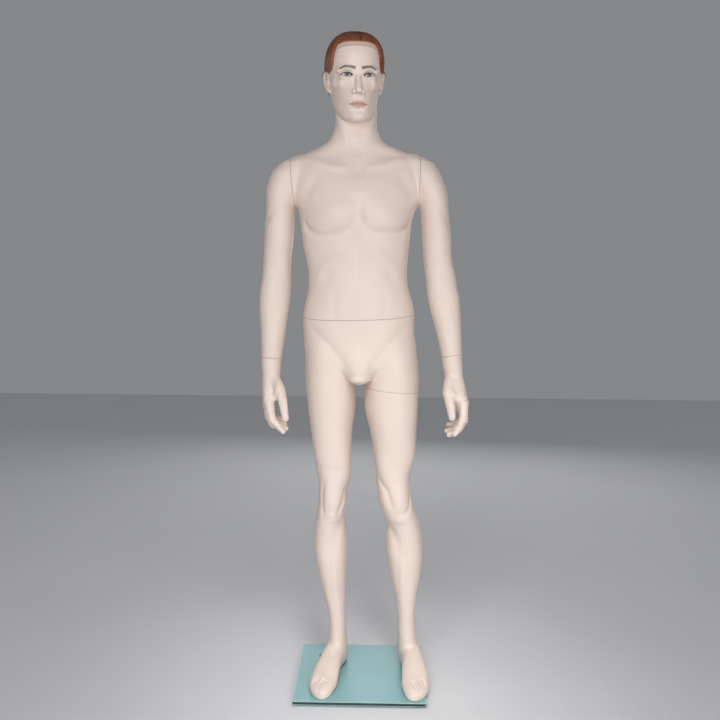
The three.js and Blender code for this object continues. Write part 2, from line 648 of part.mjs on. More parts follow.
function addShoulder(side) {
  const place = SHOULDERS[side];
  const arm = `${side}Arm`;
  const room = union(board.trunk, board[arm]).intersect(aboveZ(ARMPIT_Z - 20));
  const hole = (radius) => toManifold(align(rod(radius, -20, 20), place));
  const socketOuter = SHOULDER_PEG.radius + 5;
  addPiece(`${side}_shoulder_disc`,
    slice(room, place, -GAP / 2 - BOARD, -GAP / 2).subtract(hole(socketOuter + GAP)), WOOD);
  addPiece(`${side}_shoulder_socket`, align(flangedSleeve({
    inner: SHOULDER_PEG.radius + GAP, outer: socketOuter, flange: 25, face: -BOARD - 2 * GAP, thickness: 3,
    end: -SHOULDER_PEG.inside - 4,
  }), place), STEEL);
  const hubBore = SHOULDER_PEG.radius + GAP;
  const hubFace = BOARD + 2 * GAP;
  addPiece(`${side}_arm_disc`,
    slice(room, place, GAP / 2, GAP / 2 + BOARD).subtract(hole(SHOULDER_PEG.hub - 5)), WOOD);
  let hub = toManifold(align(ringTube(hubBore, SHOULDER_PEG.hub + 6, hubFace, hubFace + 5), place));
  [0, Math.PI].forEach((angle, i) => {
    const at = aroundAxis(place, SHOULDER_PEG.hub, angle, hubFace + 5);
    const hubScrew = { at: at.clone().addScaledVector(place.out, GAP), out: place.out };
    hub = hub.subtract(toManifold(align(rod(SCREW.radius + GAP, -8, 3, SMALL_ROUND), { at, out: place.out })));
    addPiece(`${side}_hub_screw_${i + 1}`, align(screw({ ...SCREW, head: 3.2, length: 5.2 }), hubScrew), STEEL);
  });
  addPiece(`${side}_arm_hub`, hub, STEEL);
  const headBase = hubFace + 5 + GAP;
  const peg = turned([[0, -SHOULDER_PEG.inside], [SHOULDER_PEG.radius - 2, -SHOULDER_PEG.inside],
    [SHOULDER_PEG.radius, 2 - SHOULDER_PEG.inside], [SHOULDER_PEG.radius, headBase],
    [SHOULDER_PEG.head, headBase], [SHOULDER_PEG.head, headBase + 4], [0, headBase + 4]]);
  addPiece(`${side}_shoulder_peg`, align(peg, place), STEEL);
}

function addArm(side) {
  const name = `${side}Arm`;
  const place = SHOULDERS[side];
  const zone = beyond(place, GAP / 2).intersect(aboveZ(ARMPIT_Z));
  const upper = union(outer[name].intersect(beyond(place, GAP / 2)), outer.trunk.intersect(zone));
  const solid = upper.intersect(behind(WRISTS[side], -GAP / 2));
  const shell = solid.subtract(union(hollow[name], hollow.trunk.intersect(aboveZ(ARMPIT_Z))));
  addPiece(`${side}_arm_shell`, shell, SKIN);
}

function addWrist(side) {
  const place = WRISTS[side];
  const arm = board[`${side}Arm`];
  const hole = (radius) => toManifold(align(rod(radius, -20, 20, SMALL_ROUND), place));
  const socketOuter = WRIST_PEG.radius + 3;
  addPiece(`${side}_wrist_disc`,
    slice(arm, place, -GAP / 2 - BOARD, -GAP / 2).subtract(hole(socketOuter + GAP)), WOOD);
  addPiece(`${side}_wrist_socket`, align(flangedSleeve({
    inner: WRIST_PEG.radius + GAP, outer: socketOuter, flange: 14, face: -BOARD - 2 * GAP, thickness: 2,
    end: -WRIST_PEG.inside - 3,
  }, SMALL_ROUND), place), STEEL);
  addPiece(`${side}_hand_disc`,
    slice(arm, place, GAP / 2, GAP / 2 + BOARD).subtract(hole(WRIST_PEG.radius + GAP)), WOOD);
  const headBase = BOARD + 2 * GAP;
  const peg = turned([[0, -WRIST_PEG.inside], [WRIST_PEG.radius - 1.5, -WRIST_PEG.inside],
    [WRIST_PEG.radius, 1.5 - WRIST_PEG.inside], [WRIST_PEG.radius, headBase],
    [WRIST_PEG.head, headBase], [WRIST_PEG.head, headBase + 3], [0, headBase + 3]], SMALL_ROUND);
  addPiece(`${side}_wrist_peg`, align(peg, place), STEEL);
}

function addHand(side, hand) {
  const place = WRISTS[side];
  const name = `${side}Arm`;
  const solid = union(palmAndFingers(hand), outer[name]).intersect(beyond(place, GAP / 2))
    .intersect(belowZ(place.at.z + 40));
  const pocket = hollow[name].intersect(behind(place, 22));
  addPiece(`${side}_hand_shell`, solid.subtract(pocket), SKIN);
}

addGlassBase();
addFootFitting();
addLowerBody();
addWaist();
addThigh();
addLeftLeg();
addUpperBody();
for (const [side, hand] of [["right", RIGHT_HAND], ["left", LEFT_HAND]]) {
  addShoulder(side);
  addArm(side);
  addWrist(side);
  addHand(side, hand);
}

export default mannequin;
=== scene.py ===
"""Looks of a full-height male display mannequin on a square glass base (Blender 4.5).

Each removable section of the body is one smooth moulding. Its surface is the zero level of a
distance field made of lofts, chains and ellipsoids, cut at the seams and closed by a pocket.
Metres, +Z up, the figure faces -Y. Body tables are in millimetres.
"""
import json
import math

import bmesh
import bpy
import numpy as np
from mathutils import Matrix, Vector


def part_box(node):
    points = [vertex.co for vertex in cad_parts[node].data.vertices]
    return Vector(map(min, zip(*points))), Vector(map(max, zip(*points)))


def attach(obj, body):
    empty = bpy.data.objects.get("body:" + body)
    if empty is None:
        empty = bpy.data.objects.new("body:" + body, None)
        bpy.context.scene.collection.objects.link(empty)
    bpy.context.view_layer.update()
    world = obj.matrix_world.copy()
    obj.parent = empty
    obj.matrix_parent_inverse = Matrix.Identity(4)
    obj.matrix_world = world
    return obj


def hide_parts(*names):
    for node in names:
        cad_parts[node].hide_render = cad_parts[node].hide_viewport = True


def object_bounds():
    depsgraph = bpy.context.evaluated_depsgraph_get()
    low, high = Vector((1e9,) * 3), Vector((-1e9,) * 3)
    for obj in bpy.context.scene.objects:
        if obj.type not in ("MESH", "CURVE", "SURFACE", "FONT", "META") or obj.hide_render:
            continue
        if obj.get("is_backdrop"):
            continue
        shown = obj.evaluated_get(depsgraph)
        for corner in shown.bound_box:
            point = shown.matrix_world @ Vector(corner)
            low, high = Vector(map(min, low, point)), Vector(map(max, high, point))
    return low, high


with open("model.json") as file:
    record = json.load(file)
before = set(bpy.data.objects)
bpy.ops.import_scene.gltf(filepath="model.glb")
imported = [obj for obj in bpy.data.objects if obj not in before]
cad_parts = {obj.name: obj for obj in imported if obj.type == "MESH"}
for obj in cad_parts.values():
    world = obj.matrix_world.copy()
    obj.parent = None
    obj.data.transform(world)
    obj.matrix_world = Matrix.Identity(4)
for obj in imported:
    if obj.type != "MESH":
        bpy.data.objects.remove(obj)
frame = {"nodes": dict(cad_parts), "record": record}
cad_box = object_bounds()

MM = 0.001
COARSE = 1.0

# ---------------------------------------------------------------- body tables, millimetres
# A row of a body table is a level section: height, right and left edge, front and back edge.
TRUNK = [
    [900, -14, -4, -90, -50],
    [908, -34, 14, -104, -40],
    [925, -62, 42, -110, 62],
    [950, -104, 84, -110, 98],
    [980, -158, 138, -107, 117],
    [1010, -172, 152, -106, 117],
    [1044, -174, 148, -105, 110],
    [1079, -175, 147, -104, 98],
    [1114, -171, 144, -102, 87],
    [1149, -163, 135, -101, 81],
    [1183, -158, 126, -100, 80],
    [1218, -159, 123, -101, 85],
    [1252, -166, 125, -103, 92],
    [1287, -173, 128, -107, 99],
    [1321, -178, 131, -112, 106],
    [1355, -182, 134, -117, 112],
    [1389, -187, 143, -117, 116],
    [1423, -205, 160, -112, 117],
    [1457, -214, 166, -102, 114],
    [1491, -219, 170, -86, 106],
    [1525, -216, 166, -68, 94],
    [1545, -186, 140, -57, 84],
    [1558, -156, 112, -52, 80],
    [1575, -122, 70, -49, 78],
    [1592, -102, 47, -47, 78],
    [1633, -86, 33, -42, 74],
    [1675, -82, 30, -38, 72],
    [1700, -80, 26, -34, 70],
]
# The legs: height, right leg's edges, left leg's edges, then the front and back edge of both.
LEG_ROWS = [
    [40, -90, -52, 120, 158, 20, 80],
    [64, -92, -46, 114, 164, 14, 88],
    [102, -97, -46, 112, 168, 6, 84],
    [140, -97, -46, 110, 164, 2, 80],
    [177, -99, -47, 109, 163, -4, 80],
    [252, -116, -48, 99, 169, -16, 90],
    [326, -133, -46, 83, 180, -30, 99],
    [399, -145, -44, 71, 183, -41, 103],
    [436, -144, -46, 72, 180, -46, 96],
    [473, -140, -50, 74, 171, -52, 86],
    [509, -134, -52, 62, 158, -58, 76],
    [546, -129, -46, 49, 149, -63, 68],
    [582, -128, -45, 44, 143, -67, 66],
    [618, -131, -34, 41, 140, -71, 68],
    [690, -142, -33, 33, 155, -83, 74],
    [762, -153, -30, 21, 159, -92, 83],
    [833, -162, -22, 5, 162, -98, 93],
    [904, -168, -24, 5, 163, -102, 108],
    [950, -169, -16, -4, 160, -103, 119],
    [995, -169, -22, -4, 154, -99, 114],
    [1035, -158, -42, 14, 136, -82, 98],
    [1060, -110, -90, 65, 85, -30, 30],
]
RIGHT_ARM = [
    [926, -291, -238, -77, -16],
    [974, -292, -233, -75, -2],
    [1044, -295, -224, -72, 14],
    [1079, -297, -220, -69, 22],
    [1114, -299, -216, -65, 29],
    [1149, -298, -213, -60, 35],
    [1183, -295, -212, -54, 40],
    [1218, -291, -212, -49, 43],
    [1252, -290, -210, -48, 46],
    [1321, -287, -203, -54, 52],
    [1389, -282, -200, -62, 62],
    [1423, -282, -190, -66, 70],
    [1457, -280, -175, -66, 76],
    [1491, -270, -166, -60, 77],
    [1525, -242, -151, -42, 70],
    [1543, -207, -141, -16, 48],
    [1550, -179, -169, 12, 20],
]
LEFT_ARM = [
    [926, 232, 287, -77, -16],
    [974, 225, 283, -75, -2],
    [1044, 210, 281, -72, 14],
    [1079, 201, 279, -69, 22],
    [1114, 192, 277, -65, 29],
    [1149, 185, 273, -60, 35],
    [1183, 180, 266, -54, 40],
    [1218, 176, 261, -49, 43],
    [1252, 172, 253, -48, 46],
    [1321, 166, 249, -54, 52],
    [1389, 162, 240, -62, 62],
    [1423, 150, 238, -66, 70],
    [1457, 138, 232, -66, 76],
    [1491, 126, 218, -60, 77],
    [1528, 108, 195, -42, 70],
    [1549, 100, 153, -16, 48],
    [1556, 123, 131, 12, 20],
]
# A foot runs from the back of the heel to the toes: distance, half width, height of the top, and how
# far the middle of the row moves over to the big toe's side.
FOOT_ROWS = [
    [0, 0, 20, 0],
    [10, 26, 46, 0],
    [40, 32, 62, 0],
    [85, 32, 78, 0],
    [125, 35, 68, 0],
    [165, 39, 54, 0],
    [205, 40, 40, 1],
    [240, 36, 32, 4],
    [264, 27, 27, 8],
    [284, 0, 18, 12],
]
FOOT_BOTTOM = 7
FOOT_LIFT = 16
FOOT_POWER = 2.4
SOLE_Z = 16.3
FEET = {"right": ((-67, 103), 11.3), "left": ((150, 103), -3.5)}
# A hand is a palm (rows of centre and half widths) with fingers and the thumb's web (chains of centre
# and radius); the last of the fingers is the thumb.
RIGHT_HAND = {
    "palm": [
        [-267, -68, 826, 12, 33],
        [-267, -65, 852, 17, 39],
        [-266.5, -60, 878, 19.5, 38],
        [-264, -50, 905, 24, 33],
        [-263, -45, 925, 25.5, 30],
    ],
    "fingers": [
        [[-261, -98, 848, 13], [-258, -103, 820, 12], [-254, -105, 802, 11],
         [-236, -107, 783, 9], [-223, -108, 769, 8]],
        [[-270, -79, 842, 12], [-266, -82, 806, 11], [-253, -85, 784, 10],
         [-217, -87, 774, 8]],
        [[-272, -60, 840, 11], [-269, -62, 805, 10], [-252, -63, 786, 9],
         [-223, -64, 781, 7.5]],
        [[-271, -43, 838, 10], [-269, -43, 808, 9], [-254, -44, 796, 8],
         [-233, -45, 793, 6.5]],
        [[-247, -70, 906, 15], [-234, -92, 886, 15.5], [-225, -106, 860, 13],
         [-219.5, -112, 833, 11.5], [-214.5, -116, 807, 9.5]],
    ],
    "web": [[-262, -84, 868, 13], [-250, -90, 864, 12], [-238, -95, 872, 12]],
}
LEFT_HAND = {
    "palm": [
        [281, -62, 822, 14, 27],
        [279.5, -65, 852, 20, 39],
        [273, -60, 878, 23, 38],
        [264, -50, 905, 27, 33],
        [260.5, -45, 925, 26, 30],
    ],
    "fingers": [
        [[285, -98, 852, 13], [285, -104, 830, 12.3], [283.5, -106, 809, 11.5],
         [272.5, -107, 784, 9.5], [260.5, -108, 767, 8.5]],
        [[287, -79, 846, 12], [289, -82, 802, 11], [274, -84, 775, 9.5],
         [247, -86, 761, 8]],
        [[289, -60, 842, 11], [291, -62, 798, 10], [268, -63, 774, 9],
         [242, -64, 768, 7.5]],
        [[288, -43, 840, 10], [289, -43, 802, 9], [270, -44, 786, 8],
         [248, -45, 783, 7]],
        [[247, -66, 906, 17], [241.5, -90, 880, 15.5], [246.5, -106, 852, 13],
         [249.5, -112, 832, 12], [251.5, -115, 815, 9.8]],
    ],
    "web": [[274, -84, 872, 13], [264, -90, 868, 12], [253, -94, 876, 12]],
}
HANDS = {"right": RIGHT_HAND, "left": LEFT_HAND}
LEGS = {
    "right": [[z, x0, x1, y0, y1] for z, x0, x1, _, _, y0, y1 in LEG_ROWS],
    "left": [[z, x0, x1, y0, y1] for z, _, _, x0, x1, y0, y1 in LEG_ROWS],
}
ARMS = {"right": RIGHT_ARM, "left": LEFT_ARM}
OUTWARD = {"right": -1, "left": 1}

# A seam is a point, in millimetres, and the direction in which the removable section comes away.
WAIST = ((-14, 0, 1096), (-0.03, -0.125, 1))
THIGH = ((84, 4, 881), (-0.08, 0, -1))
SHOULDERS = {
    "right": ((-204, 8, 1472), (-0.995, 0, -0.0995)),
    "left": ((155.5, 8, 1478), (0.9997, 0, -0.024)),
}
WRISTS = {
    "right": ((-262, -39, 968), (-0.06, -0.134, -0.989)),
    "left": ((255.5, -39, 980), (0.147, -0.133, -0.98)),
}
SEAM_GAP = 0.15
SEAM_CHAMFER = 0.8
RIM = 3.8
BOARD_RECESS = 5.0
# Millimetres: the lowest that a shoulder blends with the trunk, where the head takes over, and where
# the left leg begins.
ARMPIT_Z = 1362
HEAD_FROM_Z = 1612
LEFT_LEG_FROM_X = -10
# Each well is the radius and depth, millimetres, that the fitting behind a seam needs.
WAIST_WELLS = {"upper": (40, 77), "lower": (40, 18)}
THIGH_WELLS = {"upper": (34, 76), "lower": (34, 16)}
SHOULDER_WELLS = {"torso": (29, 66), "arm": (30, 20)}
WRIST_WELLS = {"arm": (16.5, 46), "hand": (14, 14)}

# The head's own frame, millimetres: to its left, forwards, and upwards from the eyes.
HEAD_CENTRE = (-30, 4, 1754)
HEAD_TURN = 7.5
# Rows of the bare head: height, half width, front, back, and how much it narrows to the front.
HEAD_ROWS = [
    [-125, 0, 70, 60, 0.1],
    [-121, 22, 86, 42, 0.1],
    [-112, 37, 93, 22, 0.18],
    [-98, 46, 93, 2, 0.26],
    [-80, 54, 94, -22, 0.3],
    [-58, 60, 94, -55, 0.28],
    [-35, 66, 91, -84, 0.24],
    [-10, 72, 90, -98, 0.2],
    [15, 76, 95, -102, 0.16],
    [45, 77.5, 96, -102, 0.13],
    [75, 75, 90, -97, 0.1],
    [100, 65, 73, -82, 0.08],
    [118, 47, 46, -58, 0.05],
    [127, 26, 15, -30, 0.0],
    [130, 0, -8, -10, 0.0],
]
EYE_APART = 31.5
EYE_FORWARD = 70
EYE_RADIUS = 13.2
EYE_STRETCH = 1.25
EYE_HALF_WIDTH = 15.5
MOUTH_HEIGHT = -79.6


# ---------------------------------------------------------------- curves and distances
def smooth_curve(knots, values, at):
    """A cubic through the knots whose slope never overshoots."""
    knots = np.asarray(knots, dtype=float)
    values = np.asarray(values, dtype=float)
    step = np.diff(knots)
    rise = np.diff(values) / step
    slope = np.zeros(len(knots))
    same = rise[:-1] * rise[1:] > 0
    both = np.where(same, rise[:-1] + rise[1:], 1)
    slope[1:-1] = np.where(same, 2 * rise[:-1] * rise[1:] / both, 0)
    slope[0], slope[-1] = rise[0], rise[-1]
    at = np.clip(at, knots[0], knots[-1])
    i = np.clip(np.searchsorted(knots, at, side="right") - 1, 0, len(knots) - 2)
    t = (at - knots[i]) / step[i]
    a = (1 + 2 * t) * (1 - t) ** 2
    b = t * (1 - t) ** 2
    c = t * t * (3 - 2 * t)
    d = t * t * (t - 1)
    return a * values[i] + b * step[i] * slope[i] + c * values[i + 1] + d * step[i] * slope[i + 1]


def round_curve(knots, half_widths, at, least=1):
    """A curve through half widths that closes roundly where they come to nought."""
    return np.sqrt(np.maximum(smooth_curve(knots, np.square(half_widths), at), least))


def smooth_step(low, high, x):
    t = np.clip((x - low) / (high - low), 0, 1)
    return t * t * (3 - 2 * t)


def join(a, b, blend):
    """The smaller of two distances, rounded where they meet."""
    if blend <= 0:
        return np.minimum(a, b)
    near = np.maximum(blend - np.abs(a - b), 0) / blend
    return np.minimum(a, b) - near ** 3 * (blend / 6)


def cut(a, b, blend):
    """Distance a with the inside of b taken away."""
    return -join(-a, b, blend)


def superellipse(u, v, power):
    return (np.abs(u) ** power + np.abs(v) ** power) ** (1 / power)


def tube_distance(dx, dy, rx, ry, power):
    """Distance to the wall of a rounded tube, from offsets to its middle and its half widths."""
    q = superellipse(dx / rx, dy / ry, power)
    return np.hypot(dx, dy) * (1 - 1 / np.maximum(q, 0.05))


class Section:
    """Level sections of a trunk or limb at any height, from the rows of a table."""

    def __init__(self, rows, power=2.3, soft_end=0):
        self.z, self.x0, self.x1, self.y0, self.y1 = np.array(rows, dtype=float).T
        self.power = power
        self.soft_end = soft_end

    def at(self, z):
        x0, x1, y0, y1 = (smooth_curve(self.z, edge, z) for edge in (self.x0, self.x1, self.y0, self.y1))
        return (x0 + x1) / 2, (y0 + y1) / 2, (x1 - x0) / 2, (y1 - y0) / 2

    def round_at(self, z):
        """As at(), but closing roundly over the end rows."""
        cx = smooth_curve(self.z, (self.x0 + self.x1) / 2, z)
        cy = smooth_curve(self.z, (self.y0 + self.y1) / 2, z)
        rx = round_curve(self.z, (self.x1 - self.x0) / 2, z, 1e-3)
        ry = round_curve(self.z, (self.y1 - self.y0) / 2, z, 1e-3)
        return cx, cy, rx, ry

    def distance(self, x, y, z):
        cx, cy, rx, ry = (v[None, None, :] for v in self.round_at(z.ravel()))
        side = tube_distance(x - cx, y - cy, rx, ry, self.power)
        return cut(side, -np.maximum(self.z[0] - z, z - self.z[-1]), self.soft_end)

    def box(self):
        return (self.x0.min(), self.y0.min(), self.z[0]), (self.x1.max(), self.y1.max(), self.z[-1])

    def wall(self, x, z, facing):
        """The y of the front surface (facing -1) or of the back surface (facing 1) at a place."""
        cx, cy, rx, ry = self.at(z)
        u = min(abs((x - cx) / rx), 0.98)
        return float(cy + facing * ry * (1 - u ** self.power) ** (1 / self.power))

    def front_at(self, x, z):
        return x, self.wall(x, z, -1), z

    def around(self, z, angle, outward):
        """A surface point at a height: angle 0 is the front, 90 the outer side, 180 the back."""
        cx, cy, rx, ry = self.at(z)
        turn = math.radians(angle)
        return float(cx + outward * math.sin(turn) * rx), float(cy - math.cos(turn) * ry), z


def chain_distance(points, x, y, z):
    """Distance to a chain of balls joined by cones."""
    best = None
    for (ax, ay, az, ar), (bx, by, bz, br) in zip(points, points[1:]):
        dx, dy, dz = bx - ax, by - ay, bz - az
        t = ((x - ax) * dx + (y - ay) * dy + (z - az) * dz) / (dx * dx + dy * dy + dz * dz)
        t = np.clip(t, 0, 1)
        d = np.sqrt((x - ax - t * dx) ** 2 + (y - ay - t * dy) ** 2 + (z - az - t * dz) ** 2)
        d = d - (ar + t * (br - ar))
        best = d if best is None else np.minimum(best, d)
    return best


def ball_distance(centre, radii, x, y, z):
    """Distance to an ellipsoid."""
    px, py, pz = x - centre[0], y - centre[1], z - centre[2]
    rx, ry, rz = radii
    near = np.sqrt((px / rx) ** 2 + (py / ry) ** 2 + (pz / rz) ** 2)
    slope = np.sqrt((px / rx ** 2) ** 2 + (py / ry ** 2) ** 2 + (pz / rz ** 2) ** 2)
    return near * (near - 1) / np.maximum(slope, 1e-6)


class Field:
    """Distances on a level grid, in millimetres, whose spacing may differ along each axis."""

    FAR = 500.0

    def __init__(self, xs, ys, zs):
        self.axes = (xs, ys, zs)
        self.values = np.full((len(xs), len(ys), len(zs)), self.FAR, dtype=np.float32)

    def block(self, low, high):
        return tuple(
            slice(max(int(np.searchsorted(axis, a)) - 1, 0), int(np.searchsorted(axis, b)) + 1)
            for axis, a, b in zip(self.axes, low, high))

    def points(self, block):
        x, y, z = (axis[part].astype(np.float32) for axis, part in zip(self.axes, block))
        return x[:, None, None], y[None, :, None], z[None, None, :]

    def change(self, rule, low, high):
        """Sets the values in a box to rule(values, x, y, z)."""
        block = self.block(low, high)
        if min(part.stop - part.start for part in block) < 1 or self.values[block].size == 0:
            return
        self.values[block] = rule(self.values[block], *self.points(block))

    def add_section(self, section, blend, low_z=None):
        low, high = section.box()
        pad = blend + 12
        z0 = low[2] - pad if low_z is None else low_z
        self.change(lambda v, x, y, z: join(v, section.distance(x, y, z), blend),
                    (low[0] - pad, low[1] - pad, z0), [edge + pad for edge in high])

    def add_chain(self, points, blend):
        low = [min(p[i] - p[3] for p in points) - blend - 6 for i in range(3)]
        high = [max(p[i] + p[3] for p in points) + blend + 6 for i in range(3)]
        self.change(lambda v, x, y, z: join(v, chain_distance(points, x, y, z), blend), low, high)


def mesh_of(field):
    """Surface nets: one vertex per crossed cell, one quad per crossed edge."""
    values = field.values
    inside = values < 0
    count = np.zeros(tuple(n - 1 for n in values.shape), dtype=np.uint8)
    corners = [(i, j, k) for i in (0, 1) for j in (0, 1) for k in (0, 1)]
    for i, j, k in corners:
        count += inside[i:inside.shape[0] - 1 + i, j:inside.shape[1] - 1 + j, k:inside.shape[2] - 1 + k]
    active = (count > 0) & (count < 8)
    cells = np.argwhere(active)
    index = np.full(active.shape, -1, dtype=np.int64)
    index[active] = np.arange(len(cells))
    total = np.zeros((len(cells), 3))
    hits = np.zeros(len(cells))
    edges = [(a, b) for a in corners for b in corners if sum(b) - sum(a) == 1 and
             all(q >= p for p, q in zip(a, b))]
    for a, b in edges:
        at_a, at_b = cells + a, cells + b
        va, vb = values[tuple(at_a.T)], values[tuple(at_b.T)]
        cross = (va < 0) != (vb < 0)
        share = va[cross] / (va[cross] - vb[cross])
        for axis in range(3):
            line = field.axes[axis]
            pa, pb = line[at_a[cross, axis]], line[at_b[cross, axis]]
            total[cross, axis] += pa + share * (pb - pa)
        hits[cross] += 1
    points = total / hits[:, None]
    return points, np.concatenate([crossed_quads(inside, index, axis) for axis in range(3)])


def crossed_quads(inside, index, axis):
    """The quads around every grid edge along one axis that crosses the surface."""
    span = [slice(1, -1)] * 3
    lower, upper = list(span), list(span)
    lower[axis] = slice(0, -1)
    upper[axis] = slice(1, None)
    a, b = inside[tuple(lower)], inside[tuple(upper)]
    place = np.argwhere(a != b)
    place[:, [i for i in range(3) if i != axis]] += 1
    outwards = inside[tuple(place.T)]
    second, third = (axis + 1) % 3, (axis + 2) % 3
    quad = []
    for back_second, back_third in ((1, 1), (0, 1), (0, 0), (1, 0)):
        cell = place.copy()
        cell[:, second] -= back_second
        cell[:, third] -= back_third
        quad.append(index[tuple(cell.T)])
    quads = np.stack(quad, axis=1)
    quads[~outwards] = quads[~outwards][:, ::-1]
    return quads


def relaxed(points, quads, rounds, strength=0.5):
    """Evens a mesh out by moving each vertex towards the mean of its neighbours."""
    starts = quads.ravel()
    ends = np.roll(quads, -1, axis=1).ravel()
    one = np.concatenate([starts, ends])
    two = np.concatenate([ends, starts])
    number = np.maximum(np.bincount(one, minlength=len(points)), 1)
    for _ in range(rounds):
        mean = np.stack([np.bincount(one, points[two, i], len(points)) / number for i in range(3)], axis=1)
        points = points + strength * (mean - points)
    return points


def normals_of(points, quads):
    p = points[quads]
    face = np.cross(p[:, 2] - p[:, 0], p[:, 3] - p[:, 1])
    normal = np.stack(
        [np.bincount(quads.ravel(), np.repeat(face[:, i], 4), len(points)) for i in range(3)], axis=1)
    return normal / np.maximum(np.linalg.norm(normal, axis=1, keepdims=True), 1e-9)


# ---------------------------------------------------------------- relief
def bump(centre, radii, height):
    """A soft swelling, or a hollow where the height is negative."""
    centre, radii = np.array(centre, dtype=float), np.array(radii, dtype=float)

    def rise(p):
        return height * np.exp(-0.5 * (((p - centre) / radii) ** 2).sum(axis=1))
    return rise


def ridge(line, width, height, fade=0.25):
    """A soft ridge along a line of points, or a groove; it fades over a share of its length at each end."""
    line = [np.array(p, dtype=float) for p in line]
    whole = sum(float(np.linalg.norm(b - a)) for a, b in zip(line, line[1:]))

    def rise(p):
        nearest = np.full(len(p), 1e9)
        place = np.zeros(len(p))
        passed = 0.0
        for a, b in zip(line, line[1:]):
            along = b - a
            t = np.clip(((p - a) @ along) / (along @ along), 0, 1)
            gap = ((p - a - t[:, None] * along) ** 2).sum(axis=1)
            place = np.where(gap < nearest, passed + t * np.linalg.norm(along), place)
            nearest = np.minimum(nearest, gap)
            passed += float(np.linalg.norm(along))
        strength = smooth_step(0, fade, np.minimum(place, whole - place) / whole + 0.02)
        return height * strength * np.exp(-0.5 * nearest / width ** 2)
    return rise


trunk = Section(TRUNK, 2.35)
legs = {side: Section(rows) for side, rows in LEGS.items()}
arms = {side: Section(rows, 2.2) for side, rows in ARMS.items()}

TRUNK_TILT = 0.035
# The body's middle leans a little: heights, and its x at each.
MIDLINE = [(900, -8), (916, -9), (1138, -12), (1360, -17), (1500, -17), (1640, -26)]


def midline(z):
    return float(np.interp(z, *zip(*MIDLINE)))


def on_trunk(offset, z, facing):
    """A point on the trunk, offset sideways from the midline, with the body's slight tilt."""
    x = midline(z) + offset
    z = z + TRUNK_TILT * offset
    return x, trunk.wall(x, z, facing), z


def front(offset, z, deeper=0):
    x, y, z = on_trunk(offset, z, -1)
    return x, y + deeper, z


def rear(offset, z):
    return on_trunk(offset, z, 1)


# Relief is a table of rows. A place with three radii and a height is a swelling, or a hollow; a list of
# places with a width and a height is a ridge, or a groove, whose fade may follow.
FRONT_MIDDLE = [
    # breastbone, line of the belly, notch of the throat, navel's ring and pit, groin, Adam's apple
    ([(1, 1436), (2, 1395), (3, 1350)], 12, -3.2, 0.4),
    ([(0, 1345), (0, 1240), (0, 1160)], 8, -1.6),
    ((2, 1498, 4), (9, 22, 14), -4),
    ((0, 1119), (24, 20, 20), 2.2),
    ((0, 1120), (9, 14, 9), -2.8),
    ((2, 952), (25, 26, 27), 10),
    ((0, 1590), (9, 16, 13), 4),
]
BACK_MIDDLE = [
    # spine and cleft
    ([(0, 1540), (0, 1400), (0, 1250), (0, 1126)], 11, -6, 0.35),
    ([(0, 1062), (0, 1000), (0, 960), (0, 915)], 9, -16, 0.4),
]
FRONT_SIDES = [
    # chest muscle, the line under it, and the groove to the armpit
    ((88, 1374), (42, 40, 33), 9.5),
    ((46, 1385), (24, 34, 34), 4),
    ([(4, 1391), (8, 1358), (22, 1337), (53, 1324), (92, 1320), (120, 1325), (142, 1342), (151, 1372)],
     8.5, -6, 0.16),
    ([(106, 1497), (135, 1450), (156, 1405)], 13, -3.6, 0.35),
    # collar bone, the hollow above it, and the neck's tendon
    ([(16, 1505), (60, 1507), (100, 1518), (136, 1530)], 8.5, 3.4),
    ([(40, 1538), (80, 1541), (110, 1550)], 13, -3, 0.4),
    ([(60, 1700, 30), (38, 1620), (13, 1520)], 8.5, 3.4),
    # edge of the ribs, hollow of the flank and belly muscles
    ([(14, 1300), (58, 1272), (98, 1225), (125, 1180)], 10, 2.5),
    ([(106, 1228), (88, 1208), (70, 1197)], 17, -2.4, 0.4),
    ((36, 1262), (20, 26, 17), 1.8),
    ((36, 1216), (20, 26, 17), 1.8),
    ((36, 1168), (20, 26, 19), 1.5),
    # crease of the groin and edge of the belly
    ([(148, 1080), (88, 1016), (46, 967), (18, 925)], 8, -3.4),
    ([(66, 1180), (74, 1110), (50, 1040)], 9, -1.6),
]
BACK_SIDES = [
    # shoulder blade and its edge, the long muscle by the spine, and the side of the back
    ((90, 1425), (38, 30, 46), 5),
    ([(40, 1350), (44, 1420), (66, 1480)], 9, -3),
    ([(30, 1300), (30, 1128)], 15, 3.5, 0.4),
    ((125, 1330), (24, 40, 50), 3),
    # dimple, buttock and the hollow at the hip
    ((38, 1066), (9, 20, 10), -2.5),
    ((80, 985), (46, 40, 40), 9),
    ([(150, 1070), (158, 1010), (146, 950)], 18, -4, 0.4),
]
# A place on a limb is its height and the angle round it: 0 in front, 90 at the outer side, 180 behind.
LEG_RELIEF = [
    # muscles above the knee, the shin's edge, the calf with the groove down it, the back of the knee
    ((668, -42), (15, 24, 27), 5),
    ((690, 55), (16, 26, 34), 3),
    ([(470, -8), (330, -14), (170, -20)], 6, 2.6),
    ((425, -152), (18, 26, 58), 5),
    ((440, 150), (18, 26, 56), 5),
    ([(470, 180), (400, 180), (345, 180)], 7, -2.5),
    ([(600, 180), (560, 180)], 20, -4),
    # hollows beside the heel's tendon, and the outer ankle
    ((115, -140), (10, 14, 34), -5),
    ((115, 140), (10, 14, 34), -5),
    ((88, 100), (10, 11, 13), 5.5),
    # the thigh's outer groove and front muscle, and the fold under the buttock
    ([(900, 80), (760, 75), (640, 70)], 14, -1.6),
    ([(900, -35), (780, -30)], 18, 2),
    ([(905, -120), (900, 180), (905, 130)], 9, -6),
]
